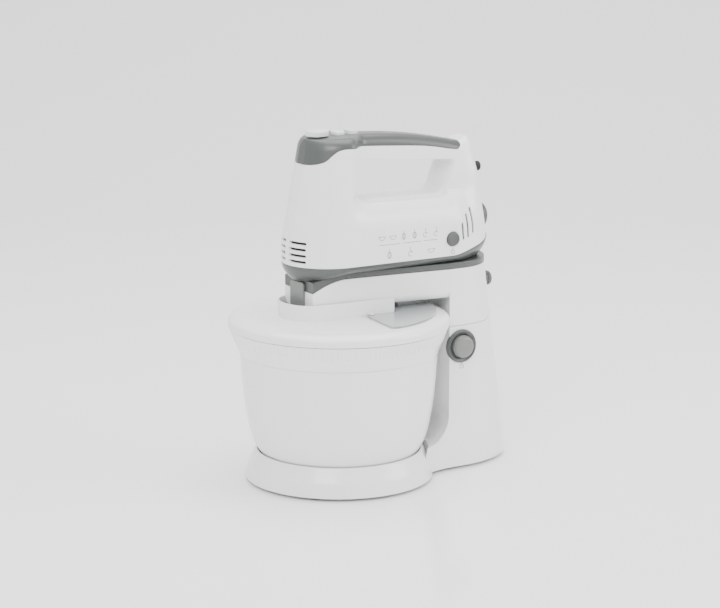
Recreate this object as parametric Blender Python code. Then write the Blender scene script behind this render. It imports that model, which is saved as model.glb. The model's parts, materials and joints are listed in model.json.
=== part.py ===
"""Stand mixer: a hand mixer on a tilting arm over a geared turning bowl.

Sizes are in millimetres from the bowl's axis at table level: -X is the nose,
+X the column, +Z up. Meshes are converted to metres as they are made.
"""
import math

import bmesh
import bpy

MM = 0.001

# Gaps
GAP = 0.35             # between pieces that touch
RUN = 0.5              # between pieces that move past each other

# Base and column
FOOT_H = 3.0
FOOT_R = 9.0
BASE_R = 93.5
SEAT_R = 81.5
SEAT_LIP_Z = 31.0
SEAT_FLOOR_Z = 17.0
BASE_WALL = 2.8
FOOT_REAR = 194.2
COLUMN_HALF = 42.0
COLUMN_SIDE_X = 135.0
COLUMN_FLARE_Z = 58.0
COLUMN_FLARE = 18.0
COLUMN_LEAN = 0.16
BOWL_CLEAR = 2.0       # between the lid's rim and the column's hollow front

# Bowl and lid
LID_R = 109.5
LID_RIM_LOW = 156.0
LID_TOP = 168.5
LID_WALL = 2.5
BOWL_R = 98.0
BOWL_TOP = 129.6
BOWL_WALL = 2.2
BOWL_FOOT = 20.6
RING_TOP = 155.3
RING_R = 108.0
COLLAR_TOP = 184.0
COLLAR_WALL = 1.7
COLLAR_HALF = 31.0
COLLAR_FRONT = 63.0
COLLAR_END = 41.0
FLAP_R = 96.0
FLAP_T = 1.8
FLAP_PIVOT = (13.0, -40.0)

# Tilt hinge and arm
HINGE = (148.0, 172.0)
HINGE_R = 4.0
TILT = math.radians(35)
SEAM_R = 23.5
ARM_FRONT = -45.0
ARM_NOSE_HALF = 27.5
ARM_LOW = 177.0
ARM_TOP = 207.0
ARM_WALL = 2.6
TRIM_TOP = 213.0

# Handset
SHELL_LOW = 221.0
SHELL_TOP = 344.5
NOSE_R = 45.0
NOSE_TIP = -58.0
HANDSET_REAR = 169.0
HANDLE_HALF = 18.0
SHELL_WALL = 2.6
TRAY_RIM = 6.5

# Drive
BEATER_Y = 20.0
MODULE = 2.5
PINION_TEETH = 7
IDLER_TEETH = 19
RING_TEETH = 74
TOOTH_TIP = 0.25       # tooth thickness at tip and root, as shares of the pitch
TOOTH_ROOT = 0.56
GEAR_LOW = 148.5
GEAR_HIGH = 154.0
MOTOR_Z = 250.0
WHEEL_R = 13.0
SOCKET_R = 6.0
SHAFT_R = 2.7
WHISK_R = 17.0
WHISK_LOW = 52.0

# Buttons
TILT_AT = (117.0, 127.5)
TILT_R = 11.5
TILT_RING_R = 17.0
KNOB_R = 7.5
KNOB_Z = 183.5
KNOB_IN = 7.5          # how far the rear knob reaches inside the column's back
KNOB_OUT = 9.0
SELECTOR_R = 11.5
SELECTOR_X = -24.0
TURBO_X = -1.0
EJECT_X = 14.0
PORT_AT = (104.4, 237.8)
PORT_BUTTON_R = 7.0
PORT_R = 14.0

TIP_DEPTH = 0.8 * MODULE
ROOT_DEPTH = 1.3 * MODULE
PINION_R = MODULE * PINION_TEETH / 2
IDLER_R = MODULE * IDLER_TEETH / 2
RING_PITCH_R = MODULE * RING_TEETH / 2
IDLER_AT_R = RING_PITCH_R - IDLER_R
BEATER_AT_R = IDLER_AT_R - IDLER_R - PINION_R
BEATER_X = -math.sqrt(BEATER_AT_R ** 2 - BEATER_Y ** 2)
DRIVE_ANGLE = math.atan2(-BEATER_Y, BEATER_X)
IDLER_AT = (IDLER_AT_R * math.cos(DRIVE_ANGLE), IDLER_AT_R * math.sin(DRIVE_ANGLE))
FRONT_R = LID_R + BOWL_CLEAR
SEAM_Z = HINGE[1] - SEAM_R
BOWL_X = (LID_R - FOOT_REAR) / 2

PALETTE = {
    "white_abs": ((0.86, 0.87, 0.87), 0.28, 0.0),
    "dark_abs": ((0.085, 0.092, 0.088), 0.42, 0.0),
    "grey_abs": ((0.17, 0.175, 0.165), 0.45, 0.0),
    "flap_plastic": ((0.55, 0.57, 0.58), 0.3, 0.0),
    "pale_abs": ((0.74, 0.75, 0.75), 0.3, 0.0),
    "acetal": ((0.82, 0.82, 0.8), 0.4, 0.0),
    "steel": ((0.6, 0.61, 0.62), 0.25, 1.0),
    "rubber": ((0.08, 0.08, 0.08), 0.8, 0.0),
    "laminated_iron": ((0.3, 0.3, 0.31), 0.5, 1.0),
    "copper": ((0.72, 0.38, 0.2), 0.35, 1.0),
    "carbon": ((0.05, 0.05, 0.05), 0.7, 0.0),
    "board": ((0.1, 0.25, 0.13), 0.6, 0.0),
}
ROUND = 36             # sides of the large turned pieces
BODIES = {}


# ---------------------------------------------------------------- tools

def finish_of(name):
    """The named plastic or metal as a Principled material, made once."""
    found = bpy.data.materials.get(name)
    if found:
        return found
    colour, roughness, metallic = PALETTE[name]
    made = bpy.data.materials.new(name)
    made.use_nodes = True
    shader = made.node_tree.nodes["Principled BSDF"]
    shader.inputs["Base Color"].default_value = (*colour, 1.0)
    shader.inputs["Roughness"].default_value = roughness
    shader.inputs["Metallic"].default_value = metallic
    return made


def body(name, at=(0.0, 0.0, 0.0), on=None):
    """An empty on a body's joint axis; its pieces are its children."""
    empty = bpy.data.objects.new("body_" + name, None)
    bpy.context.scene.collection.objects.link(empty)
    parent_at = (0.0, 0.0, 0.0)
    if on:
        empty.parent, parent_at = BODIES[on]
    shift = BOWL_X if on is None else 0.0
    empty.location = [(a - b) * MM for a, b in zip(at, parent_at)]
    empty.location.x += shift * MM
    BODIES[name] = (empty, at)


def solid(name, shape, on, finish="white_abs"):
    """An object from (points, faces) in millimetres, hung from its body."""
    empty, at = BODIES[on]
    points, faces = shape
    mesh = bpy.data.meshes.new(name)
    work = bmesh.new()
    made = [work.verts.new([(a - b) * MM for a, b in zip(p, at)]) for p in points]
    for face in faces:
        work.faces.new([made[i] for i in face])
    loose = [v for v in work.verts if not v.link_faces]
    bmesh.ops.delete(work, geom=loose, context='VERTS')
    bmesh.ops.recalc_face_normals(work, faces=work.faces)
    work.to_mesh(mesh)
    work.free()
    mesh.shade_smooth()
    mesh.set_sharp_from_angle(angle=math.radians(32))
    mesh.materials.append(finish_of(finish))
    piece = bpy.data.objects.new(name, mesh)
    bpy.context.scene.collection.objects.link(piece)
    piece.parent = empty
    return piece


def tool(name, shape, on):
    """A cutter: a solid that isn't part of the object."""
    piece = solid("tool_" + name, shape, on)
    piece.hide_render = True
    piece.display_type = 'WIRE'
    return piece


def combine(piece, other, how='DIFFERENCE'):
    step = piece.modifiers.new(how.lower(), 'BOOLEAN')
    step.operation = how
    step.solver = 'EXACT'
    step.object = other


def cut(piece, shape, on):
    combine(piece, tool(piece.name + "_cut", shape, on))


def add(piece, shape, on):
    combine(piece, tool(piece.name + "_add", shape, on), 'UNION')


def keep(piece, shape, on):
    combine(piece, tool(piece.name + "_keep", shape, on), 'INTERSECT')


def loft(rings):
    """Closed rings of equal count joined in order, with flat end faces."""
    count = len(rings[0])
    points = [p for ring in rings for p in ring]
    faces = [list(range(count)), list(range((len(rings) - 1) * count, len(rings) * count))]
    for r in range(len(rings) - 1):
        for i in range(count):
            j = (i + 1) % count
            faces.append((r * count + i, r * count + j, (r + 1) * count + j, (r + 1) * count + i))
    return points, faces


def prism(outline, low, high, axis='Z'):
    """An outline pushed along an axis: (x, y), (x, z) for Y or (y, z) for X."""
    place = {'Z': lambda u, v, w: (u, v, w),
             'Y': lambda u, v, w: (u, w, v),
             'X': lambda u, v, w: (w, u, v)}[axis]
    return loft([[place(u, v, w) for u, v in outline] for w in (low, high)])


def box(x, y, z):
    return prism([(x[0], y[0]), (x[1], y[0]), (x[1], y[1]), (x[0], y[1])], z[0], z[1])


def circle(radius, sides, centre=(0.0, 0.0), start=0.0):
    return [(centre[0] + radius * math.cos(start + 2 * math.pi * i / sides),
             centre[1] + radius * math.sin(start + 2 * math.pi * i / sides)) for i in range(sides)]


def rod(centre, radius, low, high, axis='Z', sides=16):
    return prism(circle(radius, sides, centre), low, high, axis)


def turned(profile, sides, centre=(0.0, 0.0), axis='Z'):
    """A closed (radius, height) profile turned about an axis."""
    points, faces, columns = [], [], []
    place = {'Z': lambda a, b, h: (centre[0] + a, centre[1] + b, h),
             'Y': lambda a, b, h: (centre[0] + a, h, centre[1] + b),
             'X': lambda a, b, h: (h, centre[0] + a, centre[1] + b)}[axis]
    for radius, height in profile:
        column = []
        for i in range(sides if radius > 0 else 1):
            angle = 2 * math.pi * i / sides
            points.append(place(radius * math.cos(angle), radius * math.sin(angle), height))
            column.append(len(points) - 1)
        columns.append(column)
    for k, low in enumerate(columns):
        high = columns[(k + 1) % len(columns)]
        if len(low) == 1 and len(high) == 1:
            continue
        flat = profile[k][1] == profile[(k + 1) % len(columns)][1]
        if flat and min(len(low), len(high)) == 1:
            faces.append(list(max(low, high, key=len)))
            continue
        for i in range(sides):
            j = (i + 1) % sides
            corner = [low[i % len(low)], low[j % len(low)], high[j % len(high)], high[i % len(high)]]
            faces.append(list(dict.fromkeys(corner)))
    return points, faces


def ring(radius, hole, low, high, sides=24, centre=(0.0, 0.0), axis='Z'):
    return turned([(hole, low), (radius, low), (radius, high), (hole, high)], sides, centre, axis)


def tube(path, radius, sides=6, helper=(0.31, 0.95, 0.07)):
    """A round wire along a path that never runs along helper, closed at its ends."""
    rings = []
    for k, point in enumerate(path):
        a, b = path[max(k - 1, 0)], path[min(k + 1, len(path) - 1)]
        along = [q - p for p, q in zip(a, b)]
        size = math.sqrt(sum(c * c for c in along))
        along = [c / size for c in along]
        u = cross(along, helper)
        size = math.sqrt(sum(c * c for c in u))
        u = [c / size for c in u]
        v = cross(along, u)
        rings.append([tuple(point[n] + radius * (math.cos(t) * u[n] + math.sin(t) * v[n])
                            for n in range(3))
                      for t in (2 * math.pi * s / sides for s in range(sides))])
    return loft(rings)


def cross(a, b):
    return [a[1] * b[2] - a[2] * b[1], a[2] * b[0] - a[0] * b[2], a[0] * b[1] - a[1] * b[0]]


def coil(centre, radius, low, high, turns, axis='Y', wire=0.6):
    """A coil spring along an axis."""
    steps = turns * 6
    path = []
    for i in range(steps + 1):
        angle = 2 * math.pi * turns * i / steps
        h = low + wire + (high - low - 2 * wire) * i / steps
        a = centre[0] + radius * math.cos(angle)
        b = centre[1] + radius * math.sin(angle)
        path.append({'Y': (a, h, b), 'Z': (a, b, h), 'X': (h, a, b)}[axis])
    return tube(path, wire, 4, [float(letter == axis) for letter in "XYZ"])


def rounded(x, y, radius, steps=3):
    """A rectangle with rounded corners, as an outline."""
    out = []
    for cx, cy, start in ((x[1], y[1], 0), (x[0], y[1], 90), (x[0], y[0], 180), (x[1], y[0], 270)):
        ox = cx - radius if cx == x[1] else cx + radius
        oy = cy - radius if cy == y[1] else cy + radius
        for s in range(steps + 1):
            t = math.radians(start + 90 * s / steps)
            out.append((ox + radius * math.cos(t), oy + radius * math.sin(t)))
    return out


def gear(teeth, tip_r, root_r, phase=0.0, tip=TOOTH_TIP, root=TOOTH_ROOT):
    """A toothed outline: tips narrower than roots, one tooth centred on phase."""
    out = []
    pitch = 2 * math.pi / teeth
    for i in range(teeth):
        for radius, part in ((root_r, -root), (tip_r, -tip), (tip_r, tip), (root_r, root)):
            angle = phase + pitch * (i + part / 2)
            out.append((radius * math.cos(angle), radius * math.sin(angle)))
    return out


def shifted(outline, by):
    return [(x + by[0], y + by[1]) for x, y in outline]


# ---------------------------------------------------------------- shapes

def ease(t):
    t = min(max(t, 0.0), 1.0)
    return t * t * (3 - 2 * t)


def column_back(z):
    """The column's leaning rear line, upright near the table."""
    return FOOT_REAR - COLUMN_LEAN * (z - 25 * (1 - math.exp(-z / 25)))


def column_ring(z, inset=0.0):
    """The column's outline at a height: hollow front, flat sides, round back."""
    drop = min(max((COLUMN_FLARE_Z - z) / (COLUMN_FLARE_Z - SEAT_LIP_Z), 0.0), 1.0)
    sweep = 1 - math.sqrt(1 - drop ** 2)
    front_r = FRONT_R + (SEAT_R + 3 - FRONT_R) * sweep + inset
    half = COLUMN_HALF - inset
    corner = half + (COLUMN_FLARE - 2 * inset) * sweep
    corner_x = math.sqrt(front_r ** 2 - corner ** 2)
    side = []
    for k in range(1, 4):
        x = corner_x + (COLUMN_SIDE_X - corner_x) * k / 3
        left = (COLUMN_SIDE_X - x) / (COLUMN_SIDE_X - corner_x)
        side.append((x, half + (corner - half) * left ** 3))
    back = column_back(z) - inset
    for k in range(1, 6):
        t = math.pi / 2 * k / 6
        side.append((COLUMN_SIDE_X + (back - COLUMN_SIDE_X) * math.sin(t), half * math.cos(t)))
    top = math.asin(corner / front_r)
    front = [(front_r * math.cos(a), front_r * math.sin(a))
             for a in (-top + 2 * top * k / 6 for k in range(7))]
    outline = [front[-1]] + side + [(back, 0.0)] + [(x, -y) for x, y in reversed(side)]
    outline += front[:-1]
    return [(x, y, z) for x, y in outline]


def column_solid(levels, inset=0.0):
    return loft([column_ring(z, inset) for z in levels])


def above_seam(offset):
    """Everything above the line between column and arm, as a Y prism.

    The line is flat in front of the hinge and an arc about it behind.
    """
    radius = SEAM_R + offset
    arc = [(HINGE[0] + radius * math.sin(t), HINGE[1] - radius * math.cos(t))
           for t in (math.radians(3 + 95 * k / 8) for k in range(9))]
    outline = [(40.0, HINGE[1] - radius)] + arc + [(260.0, arc[-1][1]), (260.0, 240.0), (40.0, 240.0)]
    return prism(outline, -80.0, 80.0, 'Y')


def arm_half(x):
    """Half-width of the arm along its length, ending round at the column's back."""
    if x > COLUMN_SIDE_X:
        t = min((x - COLUMN_SIDE_X) / (column_back(ARM_TOP) - COLUMN_SIDE_X), 1.0)
        return max(COLUMN_HALF * math.sqrt(1 - t ** 2), 0.5)
    front_corner = math.sqrt(FRONT_R ** 2 - COLUMN_HALF ** 2)
    t = min((x - ARM_FRONT) / (front_corner - ARM_FRONT), 1.0)
    return ARM_NOSE_HALF + (COLUMN_HALF - ARM_NOSE_HALF) * max(t, 0.0) ** 1.2


def trim_low(x):
    return ARM_TOP - 14.5 * max((-10 - x) / 40, 0.0) ** 1.6


def trim_high(x):
    return TRIM_TOP - 8.5 * max((-5 - x) / 45, 0.0) ** 1.6


def boom(inset=0.0, top=0.0, end=0.0):
    """The arm's forward part: a trough with rounded lower edges."""
    front = ARM_FRONT + inset
    back = math.sqrt(FRONT_R ** 2 - COLUMN_HALF ** 2) + 14 + end
    rings = []
    for k in range(12):
        x = front + (back - front) * k / 11
        half = min(arm_half(x), COLUMN_HALF - 1) - inset
        low = ARM_LOW + inset
        high = trim_low(x) - GAP - 0.07 + top
        side = [(half, high), (half, low + 8), (half - 2.4, low + 2.4), (half - 8, low)]
        rings.append([(x, y, z) for y, z in side] + [(x, -y, z) for y, z in reversed(side)])
    return loft(rings)


def slab(stations, half, low, high):
    """A plate of varying width between two height lines."""
    return loft([[(x, half(x), low(x)), (x, half(x), high(x)), (x, -half(x), high(x)),
                  (x, -half(x), low(x))] for x in stations])


def nose_tip(z):
    return NOSE_TIP + 22 * max(z - 240, 0.0) / 117


def nose_radius(z):
    return NOSE_R - 7 * max((z - 240) / 95, 0.0)


def handset_back(z):
    up = max(z - 226, 0.0)
    return HANDSET_REAR - 0.11 * up - 0.00055 * up ** 2


def shell_low(x):
    """The white shell's lower edge: level, then rising to the rear."""
    return SHELL_LOW + 15 * max((x - 106) / 62, 0.0) ** 1.3


def shell_top(x):
    crown = SHELL_TOP - 0.001 * (x - 8) ** 2
    return crown + 7 * math.exp(-((x - 144) / 8) ** 2)


def handset_half(x, z, inset=0.0):
    """Half-width of the handset: round nose, slim handle, shouldered body."""
    tip, radius = nose_tip(z) + inset, nose_radius(z) - inset
    centre = tip + radius
    back = handset_back(z) - inset
    if x < centre:
        nose = math.sqrt(max(radius ** 2 - (x - centre) ** 2, 0.0))
    else:
        nose = radius
    shoulder = min(max((z + inset - 250) / 33, 0.0), 1.0)
    spine = HANDLE_HALF + (NOSE_R - HANDLE_HALF) * math.sqrt(1 - shoulder ** 2) - inset
    rear = 43 - 19 * ease((z - 245) / 45) - 6 * ease((z - 290) / 40) - inset
    half = nose + (spine - nose) * ease((x - centre + 4 + inset) / 36)
    half += (rear - half) * ease((x - 108 - inset) / 28)
    round_x = 12 + 20 * ease((300 - z) / 60)
    if x > back - round_x:
        half *= math.sqrt(max(1 - ((x - back + round_x) / round_x) ** 2, 0.0))
    return max(half, 0.4)


def handset_body(levels, inset=0.0, low=shell_low, high=shell_top, edge=7.0, count=17):
    """A body between two height lines with the handset's plan at every height."""
    rings = []
    for level in levels:
        nominal = SHELL_LOW + (SHELL_TOP - SHELL_LOW) * level if high is shell_top else SHELL_LOW
        side = []
        for k in range(count):
            t = 0.5 - 0.5 * math.cos(math.pi * k / (count - 1))
            start, stop = nose_tip(nominal) + inset, handset_back(nominal) - inset
            x = start + (stop - start) * t
            top = high(x) - inset
            z = low(x) + (top - low(x)) * level
            crown = max(edge - (top - z), 0.0) if high is shell_top else 0.0
            tuck = edge - math.sqrt(max(edge ** 2 - crown ** 2, 0.0))
            under = max(low(x) - z, 0.0)
            tuck += under if high is not shell_top else 0.0
            half = max(handset_half(x, z, inset) - tuck, 0.3)
            side.append((x, half, z))
        rings.append(side + [(x, -y, z) for x, y, z in reversed(side)])
    points, faces = loft(rings)
    faces = faces[2:]
    for base in (0, (len(rings) - 1) * 2 * count):
        for k in range(count - 1):
            faces.append((base + k, base + k + 1, base + 2 * count - 2 - k, base + 2 * count - 1 - k))
    return points, faces


def opening_outline(grow=0.0):
    """The finger opening under the handle, seen from the side."""
    corners = [(12.0, 320.0, 8.0), (113.0, 312.5, 5.0), (97.0, 282.0, 9.0), (10.0, 284.5, 9.0)]
    middle = (58.0, 301.0)
    out = []
    for k, (x, z, radius) in enumerate(corners):
        before, after = corners[k - 1], corners[(k + 1) % 4]
        for s in range(5):
            t = s / 4
            a = step_towards((x, z), before, radius)
            b = step_towards((x, z), after, radius)
            px = (1 - t) ** 2 * a[0] + 2 * t * (1 - t) * x + t ** 2 * b[0]
            pz = (1 - t) ** 2 * a[1] + 2 * t * (1 - t) * z + t ** 2 * b[1]
            away = math.hypot(px - middle[0], pz - middle[1])
            stretch_x = grow * (1 if px > middle[0] else -1) * min(abs(px - middle[0]) / 30, 1)
            stretch_z = grow * (1 if pz > middle[1] else -1) if away else 0.0
            out.append((px + stretch_x, pz + stretch_z))
    return out


def step_towards(point, other, distance):
    size = math.hypot(other[0] - point[0], other[1] - point[1])
    return (point[0] + (other[0] - point[0]) * distance / size,
            point[1] + (other[1] - point[1]) * distance / size)


def cap_region(grow=0.0):
    """The dark grip cover's share of the handset, bounded by an S-curve."""
    line = [(-90, 322), (-28, 322), (-21, 325), (-15, 331), (-6, 334.5), (15, 334),
            (84, 329), (124, 322.5), (131, 324)]
    low = [(x + (grow if x == 131 else 0), z - grow) for x, z in line]
    return prism(low + [(131 + grow, 370), (-90, 370)], -70, 70, 'Y')


# ---------------------------------------------------------------- stand

def make_stand():
    base = solid("base_shell", turned(
        [(0, FOOT_H), (BASE_R, FOOT_H), (BASE_R - 1.5, 9), (BASE_R - 3.5, 17), (BASE_R - 6.5, 23),
         (SEAT_R + 3.2, 28.5), (SEAT_R + 1.6, SEAT_LIP_Z), (0, SEAT_LIP_Z)], ROUND), "stand")
    levels = [FOOT_H + 0.1, 31.5, 35, 40, 48, COLUMN_FLARE_Z, 128, 179]
    add(base, column_solid(levels), "stand")
    cut(base, above_seam(0.25), "stand")
    cut(base, turned([(0, SEAT_FLOOR_Z), (68, SEAT_FLOOR_Z), (SEAT_R - 4, 22), (SEAT_R, 28),
                      (SEAT_R, SEAT_LIP_Z + 9), (0, SEAT_LIP_Z + 9)], ROUND), "stand")
    under = SEAT_FLOOR_Z - 3
    cut(base, turned([(0, -2), (BASE_R - 3, -2), (BASE_R - 4.4, 9), (BASE_R - 7, 16),
                      (SEAT_R + 1.5, 18.3), (SEAT_R - 9, under), (0, under)], ROUND), "stand")
    hollow = tool("column_hollow", column_solid([-3] + levels[1:], BASE_WALL), "stand")
    combine(hollow, tool("column_deck", above_seam(BASE_WALL + 0.5), "stand"))
    combine(base, hollow)
    x, z = TILT_AT
    cut(base, rod((x, z), TILT_R + RUN, -COLUMN_HALF - 6, -COLUMN_HALF + 9, 'Y', 24), "stand")
    cut(base, box((HINGE[0] - 8, HINGE[0] + 8), (-18, 18), (SEAM_Z - 12, SEAM_Z + 12)), "stand")
    cut(base, box((x - 3, x + 10), (-20, 0), (SEAM_Z - 12, SEAM_Z + 12)), "stand")

    reach = column_back(KNOB_Z) + KNOB_OUT - HINGE[0]
    lowest = HINGE[1] + (KNOB_Z - KNOB_R - HINGE[1]) * math.cos(TILT) - reach * math.sin(TILT)
    notch = rounded((-KNOB_R - 1.2, KNOB_R + 1.2), (lowest - 2.5, 190), 4)
    cut(base, prism(notch, 158, 190, 'X'), "stand")

    plate = solid("base_plate", rod((0, 0), BASE_R - 5, FOOT_H + 0.2, FOOT_H + 2.4, sides=ROUND),
                  "stand", "pale_abs")
    trimmed = [(px, py) for px, py, _ in column_ring(FOOT_H, BASE_WALL + 0.6)]
    add(plate, prism(trimmed, FOOT_H + 0.2 + 0.01, FOOT_H + 2.4 - 0.01), "stand")
    for name, fx, fy in (("foot_front_left", -56, -54), ("foot_front_right", -56, 54),
                         ("foot_rear_left", 158, -20), ("foot_rear_right", 158, 20)):
        solid(name, turned([(0, 0), (FOOT_R - 1, 0), (FOOT_R, 1), (FOOT_R, FOOT_H - 0.1),
                            (0, FOOT_H - 0.1)], 12, (fx, fy)), "stand", "rubber")
    for name, sx, sy in (("base_screw_left", 30, -70), ("base_screw_right", 30, 70),
                         ("base_screw_front", -78, 0), ("base_screw_rear", 176, 0)):
        cut(plate, rod((sx, sy), 2.4, 0, 8, sides=12), "stand")
        solid(name, turned([(0, 1.4), (3.6, 1.4), (4.2, FOOT_H - 0.1), (2, FOOT_H - 0.1),
                            (2, 11), (0, 11)], 12, (sx, sy)), "stand", "steel")
    floor = SEAT_FLOOR_Z + GAP
    pin_top = BOWL_FOOT + 11.8
    solid("bowl_spindle", turned([(0, floor), (14, floor), (14, floor + 1.3), (5, floor + 1.3),
                                  (5, pin_top - 1), (4, pin_top), (0, pin_top)], 24),
          "stand", "steel")
    solid("thrust_washer", ring(16, 5 + RUN, floor + 1.3 + GAP, BOWL_FOOT - GAP, 24),
          "stand", "acetal")
    hx, hz = HINGE
    arms = [(-20, 112), (20, 112), (20, 116), (16.5, 116), (16.5, hz + 6), (14.5, hz + 8),
            (12.5, hz + 6), (12.5, 116)]
    outline = arms + [(-12.5, 116), (-12.5, hz + 6), (-14.5, hz + 8), (-16.5, hz + 6),
                      (-16.5, 116), (-20, 116)]
    bracket = solid("hinge_bracket", prism(outline, hx - 6, hx + 6, 'X'), "stand", "steel")
    cut(bracket, rod(HINGE, HINGE_R + GAP, -25, 25, 'Y', 20), "stand")
    solid("hinge_pin", rod(HINGE, HINGE_R, -21, 21, 'Y', 20), "stand", "steel")
    face = -COLUMN_HALF - GAP
    solid("tilt_ring", turned([(TILT_R + RUN, face), (TILT_RING_R, face),
                               (TILT_RING_R, face - 1.6), (TILT_RING_R - 1.4, face - 3),
                               (TILT_R + RUN, face - 1.4)], 32, TILT_AT, 'Y'), "stand", "dark_abs")


def make_tilt_button():
    x, z = TILT_AT
    face = -COLUMN_HALF
    knob = solid("tilt_button", turned(
        [(0, face - 8.5), (TILT_R - 2.5, face - 8), (TILT_R - 0.6, face - 6.5),
         (TILT_R, face - 4), (TILT_R, face + 4.5), (0, face + 4.5)], 28, TILT_AT, 'Y'),
        "tilt_button", "grey_abs")
    add(knob, rod(TILT_AT, 3.0, face + 3, -18, 'Y', 14), "tilt_button")
    solid("tilt_latch", prism(rounded((x, x + 8), (z - 7, SEAM_Z + 7), 2), -17.6, -4, 'Y'),
          "tilt_button", "acetal")
    solid("tilt_spring", coil(TILT_AT, 4.4, face + 5.2, -28, 3, 'Y', 0.6), "tilt_button", "steel")


def make_bowl():
    wall = BOWL_WALL
    side = [(62, BOWL_FOOT), (70, 21.4), (76, 25.5), (80, 31), (86, 42.5), (91, 62),
            (95, 90), (BOWL_R, BOWL_TOP)]
    inner = [(BOWL_R - wall, BOWL_TOP)] + [(r - wall, z + wall * (0.4 if z > 45 else 0.9))
                                         for r, z in reversed(side[1:-1])]
    floor = BOWL_FOOT + wall
    solid("bowl", turned([(0, BOWL_FOOT + 12.4), (5 + RUN, BOWL_FOOT + 12.4), (5 + RUN, BOWL_FOOT)]
                         + side + inner
                         + [(60, floor), (10.5, floor), (8, BOWL_FOOT + 14), (0, BOWL_FOOT + 15)],
                         ROUND), "bowl", "white_abs")
    low = BOWL_TOP + GAP
    gear_ring = solid("bowl_ring", turned(
        [(BOWL_R - wall, low), (BOWL_R + 0.8, low), (BOWL_R + 5, 141), (RING_R, 154),
         (RING_R, RING_TOP), (RING_PITCH_R - 4, RING_TOP), (RING_PITCH_R - 4, 147),
         (BOWL_R - wall, 144.5)], ROUND), "bowl", "white_abs")
    gaps = gear(RING_TEETH, RING_PITCH_R + ROOT_DEPTH, RING_PITCH_R - TIP_DEPTH, DRIVE_ANGLE,
                1 - TOOTH_ROOT, 1 - TOOTH_TIP)
    cut(gear_ring, prism(gaps, 140, 170), "bowl")


# ---------------------------------------------------------------- lid and drive

def lid_opening():
    return rounded((-52, 22), (-28, 28), 9, 4)


def collar_path(offset):
    """The splash collar's U, from its near end round the front to its far end."""
    half = COLLAR_HALF - offset
    spread = 7.0
    side = [(COLLAR_END, half + spread), (0, half + spread / 2)]
    bend = [(-40 - (COLLAR_FRONT - 40 - offset) * math.cos(t), half * math.sin(t))
            for t in (math.pi / 2 * k / 7 for k in range(8))]
    near = side + list(reversed(bend))
    return near + [(px, -py) for px, py in reversed(near[:-1])]


def flap_outline(inset=0.0):
    px, py = FLAP_PIVOT
    start, stop = math.radians(-84), math.radians(-12)
    arc = [((FLAP_R - inset) * math.cos(a), (FLAP_R - inset) * math.sin(a))
           for a in (start + (stop - start) * k / 10 for k in range(11))]
    boss = [(px + 4 * math.cos(a), py + 4 * math.sin(a))
            for a in (math.radians(80 + 25 * k) for k in range(5))]
    corner = [(3.5, -91), (5, -94.5)]
    return boss + corner + arc + [(84, -16.5), (52, -17.5), (46, -22), (43.5, -39.8), (20, -38)]


def make_lid():
    under = LID_TOP - LID_WALL
    rim = LID_RIM_LOW
    lid = solid("lid", turned(
        [(0, under), (97, under - 1), (104, 163), (LID_R - LID_WALL, 161.5),
         (LID_R - LID_WALL, rim), (LID_R, rim), (LID_R, rim + 6.3), (LID_R - 1, rim + 7.3),
         (104, 166), (97, LID_TOP - 0.8), (88, LID_TOP), (0, LID_TOP)], ROUND), "arm")
    outer, inner = collar_path(0.0), collar_path(COLLAR_WALL)
    add(lid, prism(outer + list(reversed(inner)), LID_TOP - 1, COLLAR_TOP), "arm")
    cut(lid, prism(lid_opening(), 150, COLLAR_TOP - 4), "arm")
    refill = [(20, -47), (17.5, -86)]
    refill += [(89 * math.cos(a), 89 * math.sin(a))
               for a in (math.radians(-78 + 58 * k / 8) for k in range(9))]
    refill += [(52, -24), (50, -44)]
    cut(lid, prism(refill, 150, 176), "arm")
    cut(lid, rod(FLAP_PIVOT, 1.6, 150, 176, sides=10), "arm")
    flap = solid("refill_flap", prism(flap_outline(), LID_TOP + GAP, LID_TOP + GAP + FLAP_T),
                 "refill_flap", "flap_plastic")
    cut(flap, rod(FLAP_PIVOT, 1.8, 160, 180, sides=12), "refill_flap")
    solid("flap_pin", turned([(0, under - 4), (1.4, under - 4), (1.4, LID_TOP + FLAP_T + 2 * GAP),
                              (3, LID_TOP + FLAP_T + 2 * GAP), (2.6, LID_TOP + FLAP_T + 2.2),
                              (0, LID_TOP + FLAP_T + 2.6)], 12, FLAP_PIVOT), "arm", "acetal")
    solid("lid_clip", box((62, 84), (-11, 11), (LID_TOP + GAP, ARM_LOW - GAP)), "arm", "pale_abs")
    wheel = solid("idler_gear", prism(shifted(gear(
        IDLER_TEETH, IDLER_R + TIP_DEPTH, IDLER_R - ROOT_DEPTH, DRIVE_ANGLE), IDLER_AT),
        GEAR_LOW + 0.5, GEAR_HIGH - 0.5), "idler", "acetal")
    cut(wheel, rod(IDLER_AT, 3 + RUN, 140, 170, sides=16), "idler")
    solid("idler_pin", turned([(0, GEAR_LOW - 3), (5, GEAR_LOW - 3), (5, GEAR_LOW - 0.2),
                               (3, GEAR_LOW - 0.2), (3, under - 1.4), (0, under - 1.4)],
                              16, IDLER_AT), "arm", "steel")


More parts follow.
